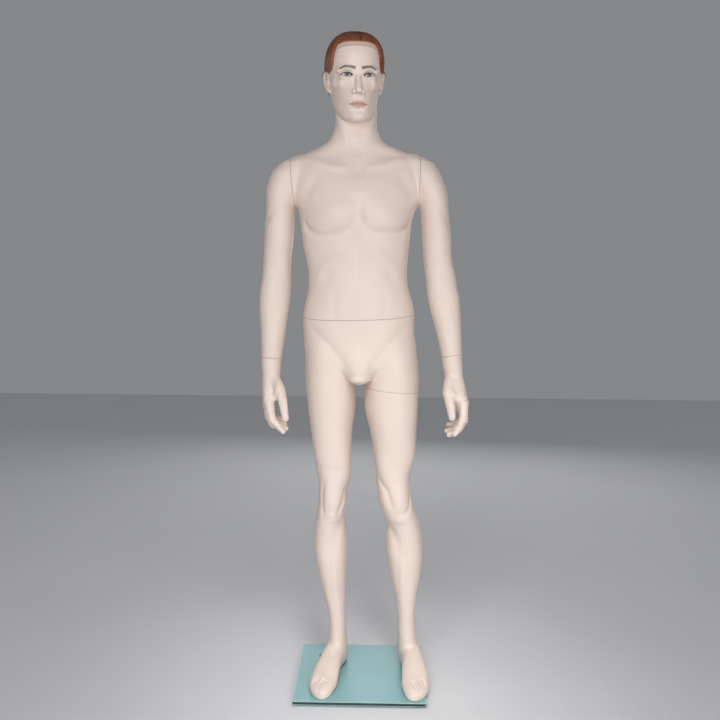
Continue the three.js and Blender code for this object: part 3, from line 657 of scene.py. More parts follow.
SHOULDER_RELIEF = [
    # front and back edge of the shoulder's muscle
    ([(1425, -25), (1380, 30), (1345, 62)], 8, -2.8),
    ([(1425, 200), (1380, 150), (1345, 110)], 9, -2.4),
]
ARM_RELIEF = [
    # upper arm, elbow, forearm, and the wrist's bone and tendon
    ((1320, -8), (22, 20, 52), 4),
    ((1370, 175), (22, 20, 56), 4),
    ([(1330, 100), (1260, 85)], 8, -2),
    ((1222, -8), (20, 14, 12), -3),
    ((1215, 178), (10, 12, 13), 3.5),
    ((1165, 40), (20, 24, 48), 3),
    ((1160, -50), (18, 24, 50), 2.5),
    ((986, 110), (9, 12, 12), 3),
    ([(1050, -20), (990, -20)], 4, 1.2),
]


def formed(on, table, s=1):
    """The rows of a relief table, laid on a surface; s is -1 to mirror them."""
    made = []
    for places, *size_and_height in table:
        if isinstance(places, tuple):
            made.append(bump(on(s * places[0], *places[1:]), *size_and_height))
        else:
            made.append(ridge([on(s * p[0], *p[1:]) for p in places], *size_and_height))
    return made


def trunk_relief():
    relief = formed(front, FRONT_MIDDLE) + formed(rear, BACK_MIDDLE)
    for s in (-1, 1):
        relief += formed(front, FRONT_SIDES, s) + formed(rear, BACK_SIDES, s)
    return relief


INNER_ANKLE = {"right": 5.5, "left": 2.0}
# The kneecaps' places across, and the lines beside each: outer side, inner side and the calf's edge.
KNEES = {"right": -84, "left": 110}
KNEE_LINES = {
    "right": [
        [(-103, 620), (-110, 600), (-114, 576), (-114, 540), (-112, 517), (-105, 497)],
        [(-41, 594), (-52, 568), (-61, 538), (-72, 505)],
        [(-52, 500), (-72, 462), (-83, 412), (-86, 362)],
    ],
    "left": [
        [(137, 596), (140, 562), (137, 534), (122, 518), (104, 516), (90, 524)],
        [(46, 636), (57, 608), (71, 590), (80, 566), (86, 542), (98, 522)],
        [(72, 502), (84, 472), (107, 427), (122, 385), (127, 345)],
    ],
}


def leg_relief(side):
    leg = legs[side]

    def on(z, angle):
        return leg.around(z, angle, OUTWARD[side])

    def on_front(z, x):
        return leg.front_at(x, z)

    knee = KNEES[side]
    outer_line, inner_line, calf_line = ([(z, x) for x, z in line] for line in KNEE_LINES[side])
    return formed(on, LEG_RELIEF) + formed(on_front, [
        ((562, knee), (21, 22, 32), 5.5),
        ((652, knee), (20, 22, 9), -2.4),
        ([(524, knee), (488, knee)], 9, 3),
        (outer_line, 5.4, -3.6, 0.3),
        (inner_line, 7.0, -5.2, 0.25),
        (calf_line, 12, -4.6, 0.35),
    ]) + [bump(on(96, -98), (10, 12, 12), INNER_ANKLE[side])]


def foot_frame(side):
    (x, y), turn = FEET[side]
    t = math.radians(turn)
    forward = np.array([-math.sin(t), -math.cos(t)])
    across = np.array([-forward[1], forward[0]])
    return np.array([x, y], dtype=float), forward, across


def foot_section(along):
    """Half width, inner shift, and middle and half of the height of a foot at a distance from the heel."""
    place, half, top, shift = np.array(FOOT_ROWS, dtype=float).T
    half = round_curve(place, half, along)
    top = smooth_curve(place, top, along) + FOOT_LIFT
    shift = smooth_curve(place, shift, along)
    return half, shift, (top + FOOT_BOTTOM) / 2, (top - FOOT_BOTTOM) / 2


def foot_point(side, along, outward, z=None):
    """A point of a foot: distance from the heel, and millimetres from its axis towards the outer side."""
    start, forward, across = foot_frame(side)
    half, shift, middle, high = (float(v[0]) for v in foot_section(np.array([float(along)])))
    spot = start + forward * along + across * OUTWARD[side] * outward
    if z is None:
        share = min(abs(outward + shift) / half, 0.98)
        z = middle + high * (1 - share ** FOOT_POWER) ** (1 / FOOT_POWER)
    return spot[0], spot[1], z


# Between the toes: outward place at the web and near the tips, and their distances from the heel.
TOE_GROOVES = [(-18, -7, 226, 260), (-8, 1, 222, 258), (3, 11, 217, 252), (13, 21, 213, 245)]
# Each toe's knuckle: outward place and distance from the heel.
TOES = [(-16, 262), (-7, 244), (3, 240), (13, 234), (24, 227)]


def foot_relief(side):
    relief = []
    for web, tip, near, far in TOE_GROOVES:
        steps = np.linspace(0, 1, 5)
        line = [foot_point(side, near + (far - near) * t, web + (tip - web) * t) for t in steps]
        relief.append(ridge(line, 2.8, -4.6, 0.25))
    for outward, along in TOES:
        relief.append(bump(foot_point(side, along, outward), (5.5, 9, 7), 1.3))
    tips = [foot_point(side, far + 3, tip) for _, tip, _, far in TOE_GROOVES]
    relief += [
        ridge([foot_point(side, 252, -14)] + tips + [foot_point(side, 240, 28)], 4.2, -1.8, 0.3),
        ridge([foot_point(side, 120, -2), foot_point(side, 150, -8), foot_point(side, 195, -16)], 6, 1.6),
        bump(foot_point(side, 125, -34, 24), (10, 34, 14), -5),
        bump(foot_point(side, 212, -41, 30), (8, 14, 12), 2),
    ]
    return relief


def arm_relief(side, table):
    return formed(lambda z, angle: arms[side].around(z, angle, OUTWARD[side]), table)


def hand_relief(side):
    """Knuckles, finger joints, nails and the tendons on the back of the hand."""
    out = OUTWARD[side]
    fingers = HANDS[side]["fingers"]
    relief = []
    for finger in fingers:
        for (x, y, z, r) in finger[1:3]:
            relief.append(bump((x, y, z), (r * 0.95, r * 0.95, r * 0.6), 0.9))
        before, tip = (np.array(p[:3], dtype=float) for p in finger[-2:])
        along = (tip - before) / np.linalg.norm(tip - before)
        nail_side = np.array([out, 0, 0]) if abs(along[2]) > 0.75 else np.array([0, 0, -1])
        if finger is fingers[-1]:
            nail_side = np.array([0, -1, 0])
        nail_side = nail_side - along * (nail_side @ along)
        nail = tip + nail_side / np.linalg.norm(nail_side) * finger[-1][3] - along * 1.5
        relief.append(bump(nail, (4.2, 4.2, 4.2), -0.9))
    for (x, y, z, r) in (finger[0] for finger in fingers[:4]):
        tendon = [(x + out * (r + 2), y, z + 14), (x + out * r, y * 0.4 - 36, z + 70)]
        relief += [bump((x + out * r, y, z + 6), (8, 7, 9), 1.8), ridge(tendon, 3.5, 0.8)]
    return relief


def raise_relief(points, quads, relief):
    """Moves each vertex along its normal by the sum of the relief."""
    normal = normals_of(points, quads)
    height = np.zeros(len(points))
    for rise in relief:
        height += rise(points)
    return points + normal * height[:, None]


# ---------------------------------------------------------------- head
def head_coordinates(x, y, z):
    """From the body's millimetres to the head's own frame."""
    t = math.radians(HEAD_TURN)
    dx, dy = x - HEAD_CENTRE[0], y - HEAD_CENTRE[1]
    return dx * math.cos(t) + dy * math.sin(t), dx * math.sin(t) - dy * math.cos(t), z - HEAD_CENTRE[2]


def from_head(u, v, w):
    t = math.radians(HEAD_TURN)
    return (HEAD_CENTRE[0] + u * math.cos(t) + v * math.sin(t),
            HEAD_CENTRE[1] + u * math.sin(t) - v * math.cos(t), HEAD_CENTRE[2] + w)


def skull_distance(u, v, w):
    rows_w, half, front_v, back_v, taper = np.array(HEAD_ROWS, dtype=float).T
    level = w.ravel()
    half = round_curve(rows_w, half, level)
    middle = smooth_curve(rows_w, (front_v + back_v) / 2, level)
    reach = round_curve(rows_w, (front_v - back_v) / 2, level)
    taper = smooth_curve(rows_w, taper, level)
    narrowed = half * (1 - taper * np.clip((v - middle) / reach, -1, 1))
    d = tube_distance(u, v - middle, narrowed, reach, 2.25)
    return np.maximum(d, np.maximum(rows_w[0] - w, w - rows_w[-1]))


def mirrored(points):
    """The same chain on both sides of the face."""
    return [[(s * p[0], *p[1:]) for p in points] for s in (-1, 1)]


# Chains of the face, ball by ball: to the side, forwards, upwards and radius.
EAR_RIM = [(75, 4, 10, 3.2), (78, -2, 23, 3.4), (81, -13, 28, 3.4), (84, -24, 20, 3.4), (84, -28, 5, 3.2),
           (81, -23, -12, 3.2), (76, -13, -24, 4.0), (72, -5, -29, 4.4)]
FACE_CHAINS = [
    # the blend, then the chain: brow, cheek, upper lip, lower lip, the ear's rim and its inner fold
    (11, [(6, 86, 17, 8), (30, 82, 20, 8.5), (50, 66, 15, 8.5)]),
    (24, [(42, 60, -20, 11), (56, 40, -16, 11)]),
    (3.2, [(24, 87, -79.5, 2.2), (10, 95, -75.5, 4.0), (0, 96, -76.5, 3.8)]),
    (3.2, [(22, 87, -81, 2.4), (9, 94.5, -85.5, 4.8), (0, 95, -86, 5.0)]),
    (6, EAR_RIM),
    (2.5, [(77, -8, 15, 2.2), (80, -18, 8, 2.0), (79, -19, -6, 2.0), (75, -10, -14, 2.2)]),
]
NOSE = [(0, 82, 9, 7.5), (0, 93, -16, 8), (0, 104, -40, 9)]


def lid_edges(u, s):
    """Where a point lies across an eye, from -1 to 1, and the height of the upper and lower lid there."""
    a = (u * s - EYE_APART) / EYE_HALF_WIDTH
    bow = np.clip(1 - a * a, 0, 1)
    return a, 5.4 * bow ** 0.7 + a, -4.2 * bow ** 0.9 + a


def eyeball_distance(u, v, w, s):
    reach = np.sqrt(((u * s - EYE_APART) / EYE_STRETCH) ** 2 + (v - EYE_FORWARD) ** 2 + w * w)
    return reach - EYE_RADIUS


def carve_eye(values, u, v, w, s):
    """Opens the lids of one eye as an almond in front of the eyeball."""
    a, upper, lower = lid_edges(u, s)
    opening = np.maximum(np.maximum(w - upper, lower - w), (np.abs(a) - 1) * EYE_HALF_WIDTH)
    carve = np.maximum(np.maximum(opening, -0.5 - eyeball_distance(u, v, w, s)), EYE_FORWARD - v)
    return cut(values, carve, 0.8)


def face(values, x, y, z):
    """Adds the whole head to the neck."""
    u, v, w = head_coordinates(x, y, z)

    def ball(centre, radii):
        return ball_distance(centre, radii, u, v, w)

    shape = skull_distance(u, v, w)
    # the swell of the mouth and the chin, then sockets, lids and nose
    shape = join(shape, ball((0, 76, -80), (30, 19, 24)), 14)
    shape = join(shape, ball((0, 80, -111), (21, 16, 13)), 12)
    for s in (-1, 1):
        shape = cut(shape, ball((s * EYE_APART, 97, -1), (19, 14.5, 10.5)), 9)
        shape = join(shape, eyeball_distance(u, v, w, s) - 1.6, 4)
    shape = join(shape, chain_distance(NOSE, u, v, w), 7)
    shape = join(shape, ball((0, 106, -44), (9.5, 9.5, 8.5)), 4)
    for s in (-1, 1):
        # a nostril's wing and hole
        shape = join(shape, ball((s * 12.5, 96, -47), (6.5, 9.5, 7)), 4)
        shape = cut(shape, ball((s * 6.8, 101, -55), (3.4, 5.5, 4)), 2)
        shape = carve_eye(shape, u, v, w, s)
    for blend, points in FACE_CHAINS:
        for chain in mirrored(points):
            shape = join(shape, chain_distance(chain, u, v, w), blend)
    for s in (-1, 1):
        # the ear's plate and its bowl
        shape = join(shape, ball((s * 76, -13, 0), (5, 13, 24)), 4)
        shape = cut(shape, ball((s * 83, -8, -2), (7, 8, 10)), 3)
    return join(values, shape, NECK_BLEND)


# The hair's edge: degrees from the middle of the forehead, and height.
HAIRLINE = [(0, 88), (20, 88), (32, 87), (42, 83), (47, 66), (52, 34), (58, 22), (66, 18), (76, 16),
            (84, 16), (92, 24), (100, 26), (115, -34), (135, -62), (183, -70)]


def hairline(u, v):
    """Height of the hair's edge all round the head."""
    around = np.degrees(np.arctan2(np.abs(u), v)) + 3 * (u > 0)
    return np.interp(around, *zip(*HAIRLINE))


def hair_cover(u, v, w):
    """One where hair covers the scalp, nought on the skin."""
    soft = 2.0 + 5.0 * smooth_step(30, 0, w) * smooth_step(-70, 0, v)
    cover = smooth_step(-soft, soft + 1, w - hairline(u, v))
    ear = np.exp(-(((v + 12) / 20) ** 2 + ((w + 2) / 30) ** 2) ** 3) * (np.abs(u) > 60)
    return cover * (1 - smooth_step(0.3, 0.7, ear))


def comb_coordinates(u, v, w):
    """Turn about, and distance along, an axis from the forehead down to the nape."""
    lean = np.radians(30 + 28 * smooth_step(20, -80, v))
    along = -v * np.cos(lean) - (w - 20) * np.sin(lean)
    up = (w - 20) * np.cos(lean) - v * np.sin(lean)
    return np.arctan2(u, up), along, np.hypot(u, up)


def on_head(w):
    """Nought on the neck and one on the head."""
    return smooth_step(-95, -80, w)


def strand_waves(turn, along):
    """Combed strands: a few sine waves across the comb's direction that wander along it."""
    wander = 0.06 * np.sin(along / 27 + 3 * turn) + 0.035 * np.sin(along / 12 + 5 * turn)
    t = turn + wander
    lock = 0.6 + 0.4 * np.sin(9 * t + along / 40)
    return (0.5 * lock * np.sin(41 * t + 1.5 * np.sin(6 * t)) + 0.3 * np.sin(77 * t + 1.3 + 0.03 * along)
            + 0.25 * np.sin(131 * t + 0.7 - 0.04 * along))


PARTING = ridge([(-10, 84, 84), (-8, 60, 116), (-6, 20, 130)], 2.2, -1.6)


def head_relief(points, quads):
    """Hair thickness, its parting and strands, and the fine creases of the face."""
    normal = normals_of(points, quads)
    u, v, w = head_coordinates(*points.T)
    edge = w - hairline(u, v)
    cover = hair_cover(u, v, w) * on_head(w)
    thick = 1.2 + 5.2 * smooth_step(0, 26, edge) * smooth_step(-75, 30, w)
    turn, along, _ = comb_coordinates(u, v, w)
    strength = (0.35 + 0.5 * smooth_step(-60, 40, v)) * smooth_step(0, 12, edge)
    height = cover * (thick + strength * strand_waves(turn, along))
    local = np.stack([u, v, w], axis=1)
    height += np.where(w > 60, PARTING(local), 0)
    creases = [
        # between the lips, the groove above them and the hollow below
        ridge([(-24, 92, -79.6), (-10, 99, -79.4), (0, 100, -80.4), (10, 99, -79.4), (24, 92, -79.6)],
              1.3, -2),
        ridge([(0, 101, -60), (0, 101, -70)], 2.2, -1.2),
        ridge([(-14, 93, -96), (14, 93, -96)], 5, -2.2),
    ]
    for s in (-1, 1):
        # beside the nose, and the fold of the upper lid
        creases += [ridge([(s * 19, 94, -45), (s * 27, 88, -66), (s * 31, 82, -82)], 4, -1.1),
                    ridge([(s * 18, 84, 7), (s * 30, 86, 10), (s * 46, 76, 6)], 1.6, -1.3)]
    for crease in creases:
        height += crease(local)
    return points + normal * height[:, None]


# ---------------------------------------------------------------- cutting and closing
def rough_mesh(points, quads):
    mesh = bpy.data.meshes.new("section")
    mesh.vertices.add(len(points))
    mesh.vertices.foreach_set("co", (points * MM).astype(np.float32).ravel())
    mesh.loops.add(quads.size)
    mesh.loops.foreach_set("vertex_index", quads.astype(np.int32).ravel())
    mesh.polygons.add(len(quads))
    mesh.polygons.foreach_set("loop_start", np.arange(0, quads.size, 4, dtype=np.int32))
    mesh.update(calc_edges=True)
    return mesh


def cut_at_seam(bm, seam, keep_out, zone):
    """Removes what lies past a seam; zone says which points the cut may touch."""
    at, out = Vector(seam[0]) * MM, Vector(seam[1]).normalized()
    away = out if not keep_out else -out
    plane = at - away * (SEAM_GAP + SEAM_CHAMFER) * MM
    faces = [f for f in bm.faces if zone is None or zone(f.calc_center_median())]
    edges = list(dict.fromkeys(e for f in faces for e in f.edges))
    verts = list(dict.fromkeys(v for f in faces for v in f.verts))
    bmesh.ops.bisect_plane(bm, geom=verts + edges + faces, dist=1e-6, plane_co=plane,
                           plane_no=away, clear_outer=True)
    return at - away * SEAM_GAP * MM, away


def open_loops(bm):
    """Ordered rings of vertices around each hole in a mesh."""
    edges = dict.fromkeys(e for e in bm.edges if len(e.link_faces) == 1)
    loops = []
    while edges:
        edge, _ = edges.popitem()
        loop = [edge.verts[0], edge.verts[1]]
        while True:
            step = next((e for e in loop[-1].link_edges if e in edges), None)
            if step is None:
                break
            del edges[step]
            loop.append(step.other_vert(loop[-1]))
        if loop[0] is loop[-1]:
            loop.pop()
        loops.append(loop)
    return loops


def ring_inside(bm, loop, centre, away, inset, depth, radius):
    """A copy of a loop behind the seam's face: moved inwards by inset, or onto a circle."""
    ring = []
    for vert in loop:
        towards = vert.co - centre
        towards -= away * towards.dot(away)
        reach = towards.length
        wanted = radius * MM if radius else max(reach - inset * MM, reach * 0.2)
        ring.append(bm.verts.new(centre + towards * (wanted / max(reach, 1e-9)) - away * depth * MM))
    return ring


def bridge(bm, outer, inner, material):
    for i in range(len(outer)):
        j = (i + 1) % len(outer)
        face = bm.faces.new((outer[i], outer[j], inner[j], inner[i]))
        face.material_index = material


def close_seam(bm, loop, axis_at, face_at, away, well):
    """A chamfer, a flat rim, a shallow recess for the board and a round well for the fitting."""
    radius, depth = well
    middle = sum((v.co for v in loop), Vector()) / len(loop)
    middle -= away * (middle - face_at).dot(away)
    axis = axis_at - away * (axis_at - face_at).dot(away)
    seam_shade_layer = bm.verts.layers.float["seam"]
    # each ring: centre, inset, depth, radius if it is round, and material (0 skin, 1 inside)
    steps = [(middle, SEAM_CHAMFER * 0.8, 0, None, 0), (middle, RIM, 0, None, 1),
             (middle, RIM + 0.4, BOARD_RECESS, None, 1), (axis, 0, BOARD_RECESS + 0.5, radius, 1),
             (axis, 0, depth, radius, 1)]
    previous = loop
    for centre, inset, back, circle, material in steps:
        ring = ring_inside(bm, loop, centre, away, inset, back, circle)
        bridge(bm, previous, ring, material)
        # the chamfer's first ring is marked to take the painted shade of the seam's gap
        if back == 0 and material == 0:
            for vert in ring:
                vert[seam_shade_layer] = 1.0
        previous = ring
    end = bm.verts.new(axis - away * depth * MM)
    for i, vert in enumerate(previous):
        face = bm.faces.new((vert, previous[(i + 1) % len(previous)], end))
        face.material_index = 1


def nearest_loop(bm, face_at):
    loops = open_loops(bm)
    return min(loops, key=lambda loop: abs(sum((v.co - face_at).length for v in loop) / len(loop)))


def split(points, quads, cuts):
    """Cuts a section at its seams and closes each one: cuts are (seam, keep_out, zone, well)."""
    bm = bmesh.new()
    bm.from_mesh(rough_mesh(points, quads))
    bm.verts.layers.float.new("seam")
    for seam, keep_out, zone, well in cuts:
        face_at, away = cut_at_seam(bm, seam, keep_out, zone)
        close_seam(bm, nearest_loop(bm, face_at), Vector(seam[0]) * MM, face_at, away, well)
    bmesh.ops.delete(bm, geom=[v for v in bm.verts if not v.link_faces], context="VERTS")
    return bm


def smooth_faces(bm):
    """Turns the faces outwards and shades the skin's faces smooth."""
    bmesh.ops.recalc_face_normals(bm, faces=bm.faces)
    for face in bm.faces:
        face.smooth = face.material_index == 0


def linked(name, data):
    """A new object in the scene."""
    made = bpy.data.objects.new(name, data)
    bpy.context.scene.collection.objects.link(made)
    return made


def object_from(name, bm, *materials):
    """Turns a bmesh into an object with its materials."""
    mesh = bpy.data.meshes.new(name)
    bm.to_mesh(mesh)
    bm.free()
    for material in materials:
        mesh.materials.append(material)
    return linked(name, mesh)


# ---------------------------------------------------------------- the sections' fields
def lines(*stretches):
    """Grid lines over joined stretches of (start, end, spacing)."""
    parts = [np.arange(a, b, step * COARSE) for a, b, step in stretches]
    return np.concatenate(parts + [[stretches[-1][1]]])


def foot_rule(side):
    start, forward, across = foot_frame(side)

    def rule(values, x, y, z):
        along = (x - start[0]) * forward[0] + (y - start[1]) * forward[1]
        sideways = (x - start[0]) * across[0] + (y - start[1]) * across[1]
        half, shift, middle, high = foot_section(along)
        sideways = sideways + OUTWARD[side] * shift
        d = tube_distance(sideways, z - middle, half, high, FOOT_POWER)
        d = np.maximum(d, np.maximum(-along, along - FOOT_ROWS[-1][0]))
        return join(values, d, ANKLE_BLEND)
    return rule


# How widely the forms run into each other, millimetres.
LEG_BLEND, HIP_BLEND, ANKLE_BLEND, SHOULDER_BLEND, NECK_BLEND = 5, 16, 24, 20, 9
FINGER_BLEND, KNUCKLE_BLEND, THUMB_BLEND, WEB_BLEND = 2.2, 11, 15, 10
FOOT_PLATE = {"x": -90, "y": 80, "length": 92, "width": 30, "turn": -34, "rod_along": 21}
# Clearance round the plate, and the heights at which the room for plate, flange and sleeve ends.
PLATE_GAP = 1.2
PLATE_TOP, FLANGE_TOP, SLEEVE_TOP = 25.2, 29.5, 88
FLANGE_RADIUS, SLEEVE_RADIUS = 14, 9.6


def foot_fitting_rule(values, x, y, z):
    """Room in the right foot for the plate, its bolts, the rod and its socket."""
    turn = math.radians(FOOT_PLATE["turn"])
    dx, dy = x - FOOT_PLATE["x"], y - FOOT_PLATE["y"]
    along = dx * math.cos(turn) + dy * math.sin(turn)
    sideways = dy * math.cos(turn) - dx * math.sin(turn)
    straight = FOOT_PLATE["length"] / 2 - FOOT_PLATE["width"] / 2
    plate = np.hypot(np.maximum(np.abs(along) - straight, 0), sideways) - FOOT_PLATE["width"] / 2
    plate = np.maximum(plate - PLATE_GAP, z - PLATE_TOP)
    rod = np.hypot(along - FOOT_PLATE["rod_along"], sideways)
    flange = np.maximum(rod - FLANGE_RADIUS, z - FLANGE_TOP)
    sleeve = np.maximum(rod - SLEEVE_RADIUS, z - SLEEVE_TOP)
    return cut(values, np.minimum(np.minimum(plate, flange), sleeve), 0.4)


def lower_field():
    field = Field(lines((-184, 216, 2.6)), lines((-190, -112, 1.8), (-112, 132, 3)),
                  lines((12, 62, 1.8), (62, 124, 2.6), (124, 1112, 4)))
    both_legs = Field(*field.axes)
    for side in legs:
        both_legs.add_section(legs[side], LEG_BLEND)
        start = foot_point(side, 140, 0, 0)
        both_legs.change(foot_rule(side), (start[0] - 90, -192, 0), (start[0] + 90, 130, 150))
    field.add_section(trunk, 0)
    field.values = join(field.values, both_legs.values, HIP_BLEND)
    field.change(lambda v, x, y, z: cut(v, z - SOLE_Z, 3), (-200, -200, 0), (220, 140, 60))
    field.change(foot_fitting_rule, (-150, 10, 0), (-10, 150, 95))
    return field


def upper_field():
    field = Field(lines((-228, -128, 4), (-128, 68, 1.5), (68, 184, 4)), lines((-134, 128, 1.6)),
                  lines((1080, 1596, 4), (1596, 1906, 1.5)))
    field.add_section(trunk, 0, low_z=1070)
    for side in arms:
        field.add_section(arms[side], SHOULDER_BLEND, low_z=ARMPIT_Z)
    field.change(face, (-140, -140, 1608), (80, 135, 1906))
    return field


def arm_field(side):
    rows = np.array(ARMS[side], dtype=float)
    low_x, high_x = rows[:, 1].min() - 12, rows[:, 2].max() + 12
    field = Field(lines((low_x, high_x, 3)), lines((-92, 100, 3)), lines((950, 1566, 3.6)))
    field.add_section(arms[side], 0)
    field.add_section(trunk, SHOULDER_BLEND, low_z=ARMPIT_Z)
    return field


def wrist_rows(side):
    """The arm's own sections just below and above the wrist seam."""
    rows = []
    for z in (952, 974, 1000, 1030):
        cx, cy, rx, ry = (float(v) for v in arms[side].round_at(z))
        rows.append([z, cx - rx, cx + rx, cy - ry, cy + ry])
    return rows


def hand_field(side):
    hand = HANDS[side]
    centre = [finger[0][0] for finger in hand["fingers"]]
    field = Field(lines((min(centre) - 48, max(centre) + 48, 1.6)), lines((-132, 12, 1.6)),
                  lines((738, 1000, 1.6)))
    palm = [[z, x - rx, x + rx, y - ry, y + ry] for x, y, z, rx, ry in hand["palm"]]
    field.add_section(Section(palm + wrist_rows(side), 2.2, 16), 0)
    fingers = Field(*field.axes)
    for finger in hand["fingers"][:4]:
        fingers.add_chain(finger, FINGER_BLEND)
    field.values = join(field.values, fingers.values, KNUCKLE_BLEND)
    field.add_chain(hand["fingers"][4], THUMB_BLEND)
    field.add_chain(hand["web"], WEB_BLEND)
    return field


# ---------------------------------------------------------------- paint
def srgb(red, green, blue):
    """A screen colour, 0 to 255, as linear light."""
    c = np.array([red, green, blue]) / 255
    return np.where(c <= 0.04045, c / 12.92, ((c + 0.055) / 1.055) ** 2.4)


SKIN = srgb(232, 214, 203)
# painted shade of the gap along each seam, laid on the chamfer's first ring
SEAM_GAP_SHADE = srgb(188, 166, 150)
HAIR_DARK = srgb(74, 34, 24)
HAIR_LIGHT = srgb(164, 94, 64)
HAIR_SIDE = srgb(146, 108, 92)
HAIR_EDGE = srgb(168, 126, 108)
HAIR_BAND = srgb(212, 176, 160)
HAIR_PARTING = srgb(58, 32, 26)
BROW = srgb(70, 46, 38)
LASH = srgb(46, 34, 32)
# painted shade for the crease between the lips and inside the nostrils
LIPS = srgb(205, 156, 142)
MOUTH_AND_NOSTRIL_SHADE = srgb(142, 92, 82)
LID_SHADE = srgb(196, 164, 146)
BLUSH = srgb(226, 190, 170)


def mixed(colours, colour, share):
    share = np.clip(share, 0, 1)[:, None]
    return colours * (1 - share) + colour * share


def line_distance(u, w, line):
    nearest = np.full(len(u), 1e9)
    for (au, aw), (bu, bw) in zip(line, line[1:]):
        du, dw = bu - au, bw - aw
        t = np.clip(((u - au) * du + (w - aw) * dw) / (du * du + dw * dw), 0, 1)
        nearest = np.minimum(nearest, np.hypot(u - au - t * du, w - aw - t * dw))
    return nearest


def paint_head(colours, points):
    """The painted face and hair: brows, lids, lash lines, lips and combed strands."""
    u, v, w = head_coordinates(*points.T)
    on_face = (v > 40) & (w > -130)
    for s in (-1, 1):
        colours = paint_eye(colours, u, v, w, s, on_face)
    colours = paint_mouth(colours, u, v, w)
    edge = w - hairline(u, v)
    above_brow = smooth_step(36, 50, w) * smooth_step(35, 60, v)
    band = smooth_step(-11, -9, edge) * smooth_step(2, -1, edge) * above_brow
    colours = mixed(colours, HAIR_BAND, 0.75 * band)
    colours = mixed(colours, HAIR_EDGE, 0.75 * gauss((edge + 10.5) / 1.4) * above_brow)
    cover = hair_cover(u, v, w) * on_head(w)
    return mixed(colours, hair_paint(u, v, w, edge), cover), cover


def gauss(*reaches):
    return np.exp(-sum(reach ** 2 for reach in reaches))


def paint_eye(colours, u, v, w, s, on_face):
    """Lid shade, lash lines, brow, cheek, and painted shade in the nostril, of one side."""
    side = u * s
    a, upper, lower = lid_edges(u, s)
    near = on_face & (np.abs(a) < 1.35)
    lash = smooth_step(2.3, 0.9, np.abs(w - upper - 0.3)) * smooth_step(1.22, 1.0, np.abs(a))
    under = smooth_step(1.5, 0.5, np.abs(w - lower + 0.1)) * smooth_step(1.1, 0.9, np.abs(a))
    brow = line_distance(side, w, [(12, 17), (24, 20), (38, 21.5), (50, 17)])
    width = 5.2 - 0.05 * (side - 12)
    hairs = 0.8 + 0.2 * np.sin(3.1 * side + 1.2 * w)
    for colour, share in (
            (LID_SHADE, 0.75 * gauss((w - upper - 4.5) / 4.2, (a / 0.95) ** 2) * near),
            (LID_SHADE, 0.4 * gauss((w - lower + 2.5) / 2.5, a ** 2) * near),
            (LASH, lash * near),
            (LASH, 0.6 * under * near),
            (BROW, smooth_step(width, width - 1.8, brow) * hairs * on_face),
            (BLUSH, 0.15 * gauss((side - 44) / 16, (w + 34) / 16) * on_face),
            # painted shade inside the nostril's hole
            (MOUTH_AND_NOSTRIL_SHADE, 0.8 * gauss((side - 6.8) / 3, (w + 55) / 2.6, (v - 101) / 6))):
        colours = mixed(colours, colour, share)
    return colours


def paint_mouth(colours, u, v, w):
    a = u / 25.5
    bow = np.clip(1 - np.abs(a) ** 1.7, 0, 1)
    top = MOUTH_HEIGHT + 7.6 * bow - 1.4 * gauss(u / 3.5)
    bottom = MOUTH_HEIGHT - 10 * np.clip(1 - a * a, 0, 1)
    lips = smooth_step(0.8, -0.8, w - top) * smooth_step(0.8, -0.8, bottom - w) * (np.abs(a) < 1) * (v > 70)
    # painted shade along the crease between the lips
    line = smooth_step(1.6, 0.3, np.abs(w + 79.7)) * (np.abs(u) < 25) * (v > 80)
    return mixed(mixed(colours, LIPS, 0.9 * lips), MOUTH_AND_NOSTRIL_SHADE, 0.8 * line)


def hair_paint(u, v, w, edge):
    """Strands light and dark, greyer at one temple, soft at the edge, dark at the parting and crown."""
    turn, along, _ = comb_coordinates(u, v, w)
    strands = 0.5 + 0.6 * strand_waves(turn, along)
    hair = np.tile(HAIR_DARK, (len(u), 1))
    for colour, share in (
            (HAIR_LIGHT, strands * smooth_step(160, 70, w) + 0.1),
            (HAIR_SIDE, 0.75 * smooth_step(74, 46, w) * smooth_step(14, -14, u) * smooth_step(-30, 20, v)),
            (HAIR_EDGE, 0.7 * smooth_step(7, 0, edge) * smooth_step(20, 50, v)),
            (HAIR_PARTING, 0.6 * gauss((u - 7) / 3.5) * smooth_step(84, 94, w)),
            (HAIR_PARTING, 0.55 * gauss((u - 1) / 17, (w - 121) / 10) * (v > 0))):
        hair = mixed(hair, colour, share)
    return hair


def paint(piece):
    """Stores each vertex's paint, hair cover and comb direction on a body section."""
    mesh = piece.data
    count = len(mesh.vertices)
    flat = np.empty(count * 3, dtype=np.float32)
    mesh.vertices.foreach_get("co", flat)
    points = flat.reshape(-1, 3).astype(float) / MM
    colours = np.tile(SKIN, (count, 1))
    cover = np.zeros(count)
    comb = np.zeros((count, 3))
    high = points[:, 2] > HEAD_FROM_Z
    if high.any():
        colours[high], cover[high] = paint_head(colours[high], points[high])
        turn, along, reach = comb_coordinates(*head_coordinates(*points[high].T))
        comb[high] = np.stack([turn * 60, along, reach], axis=1) * MM
    on_seam = np.empty(count, dtype=np.float32)
    mesh.attributes["seam"].data.foreach_get("value", on_seam)
    # painted shade of the seam's gap on the marked ring
    colours = mixed(colours, SEAM_GAP_SHADE, on_seam)
    opaque = np.column_stack([colours, np.ones(count)])
    for name, kind, field, values in (("paint", "FLOAT_COLOR", "color", opaque),
                                      ("hair", "FLOAT", "value", cover),
                                      ("comb", "FLOAT_VECTOR", "vector", comb)):
        layer = mesh.attributes.new(name, kind, "POINT")
        layer.data.foreach_set(field, values.astype(np.float32).ravel())


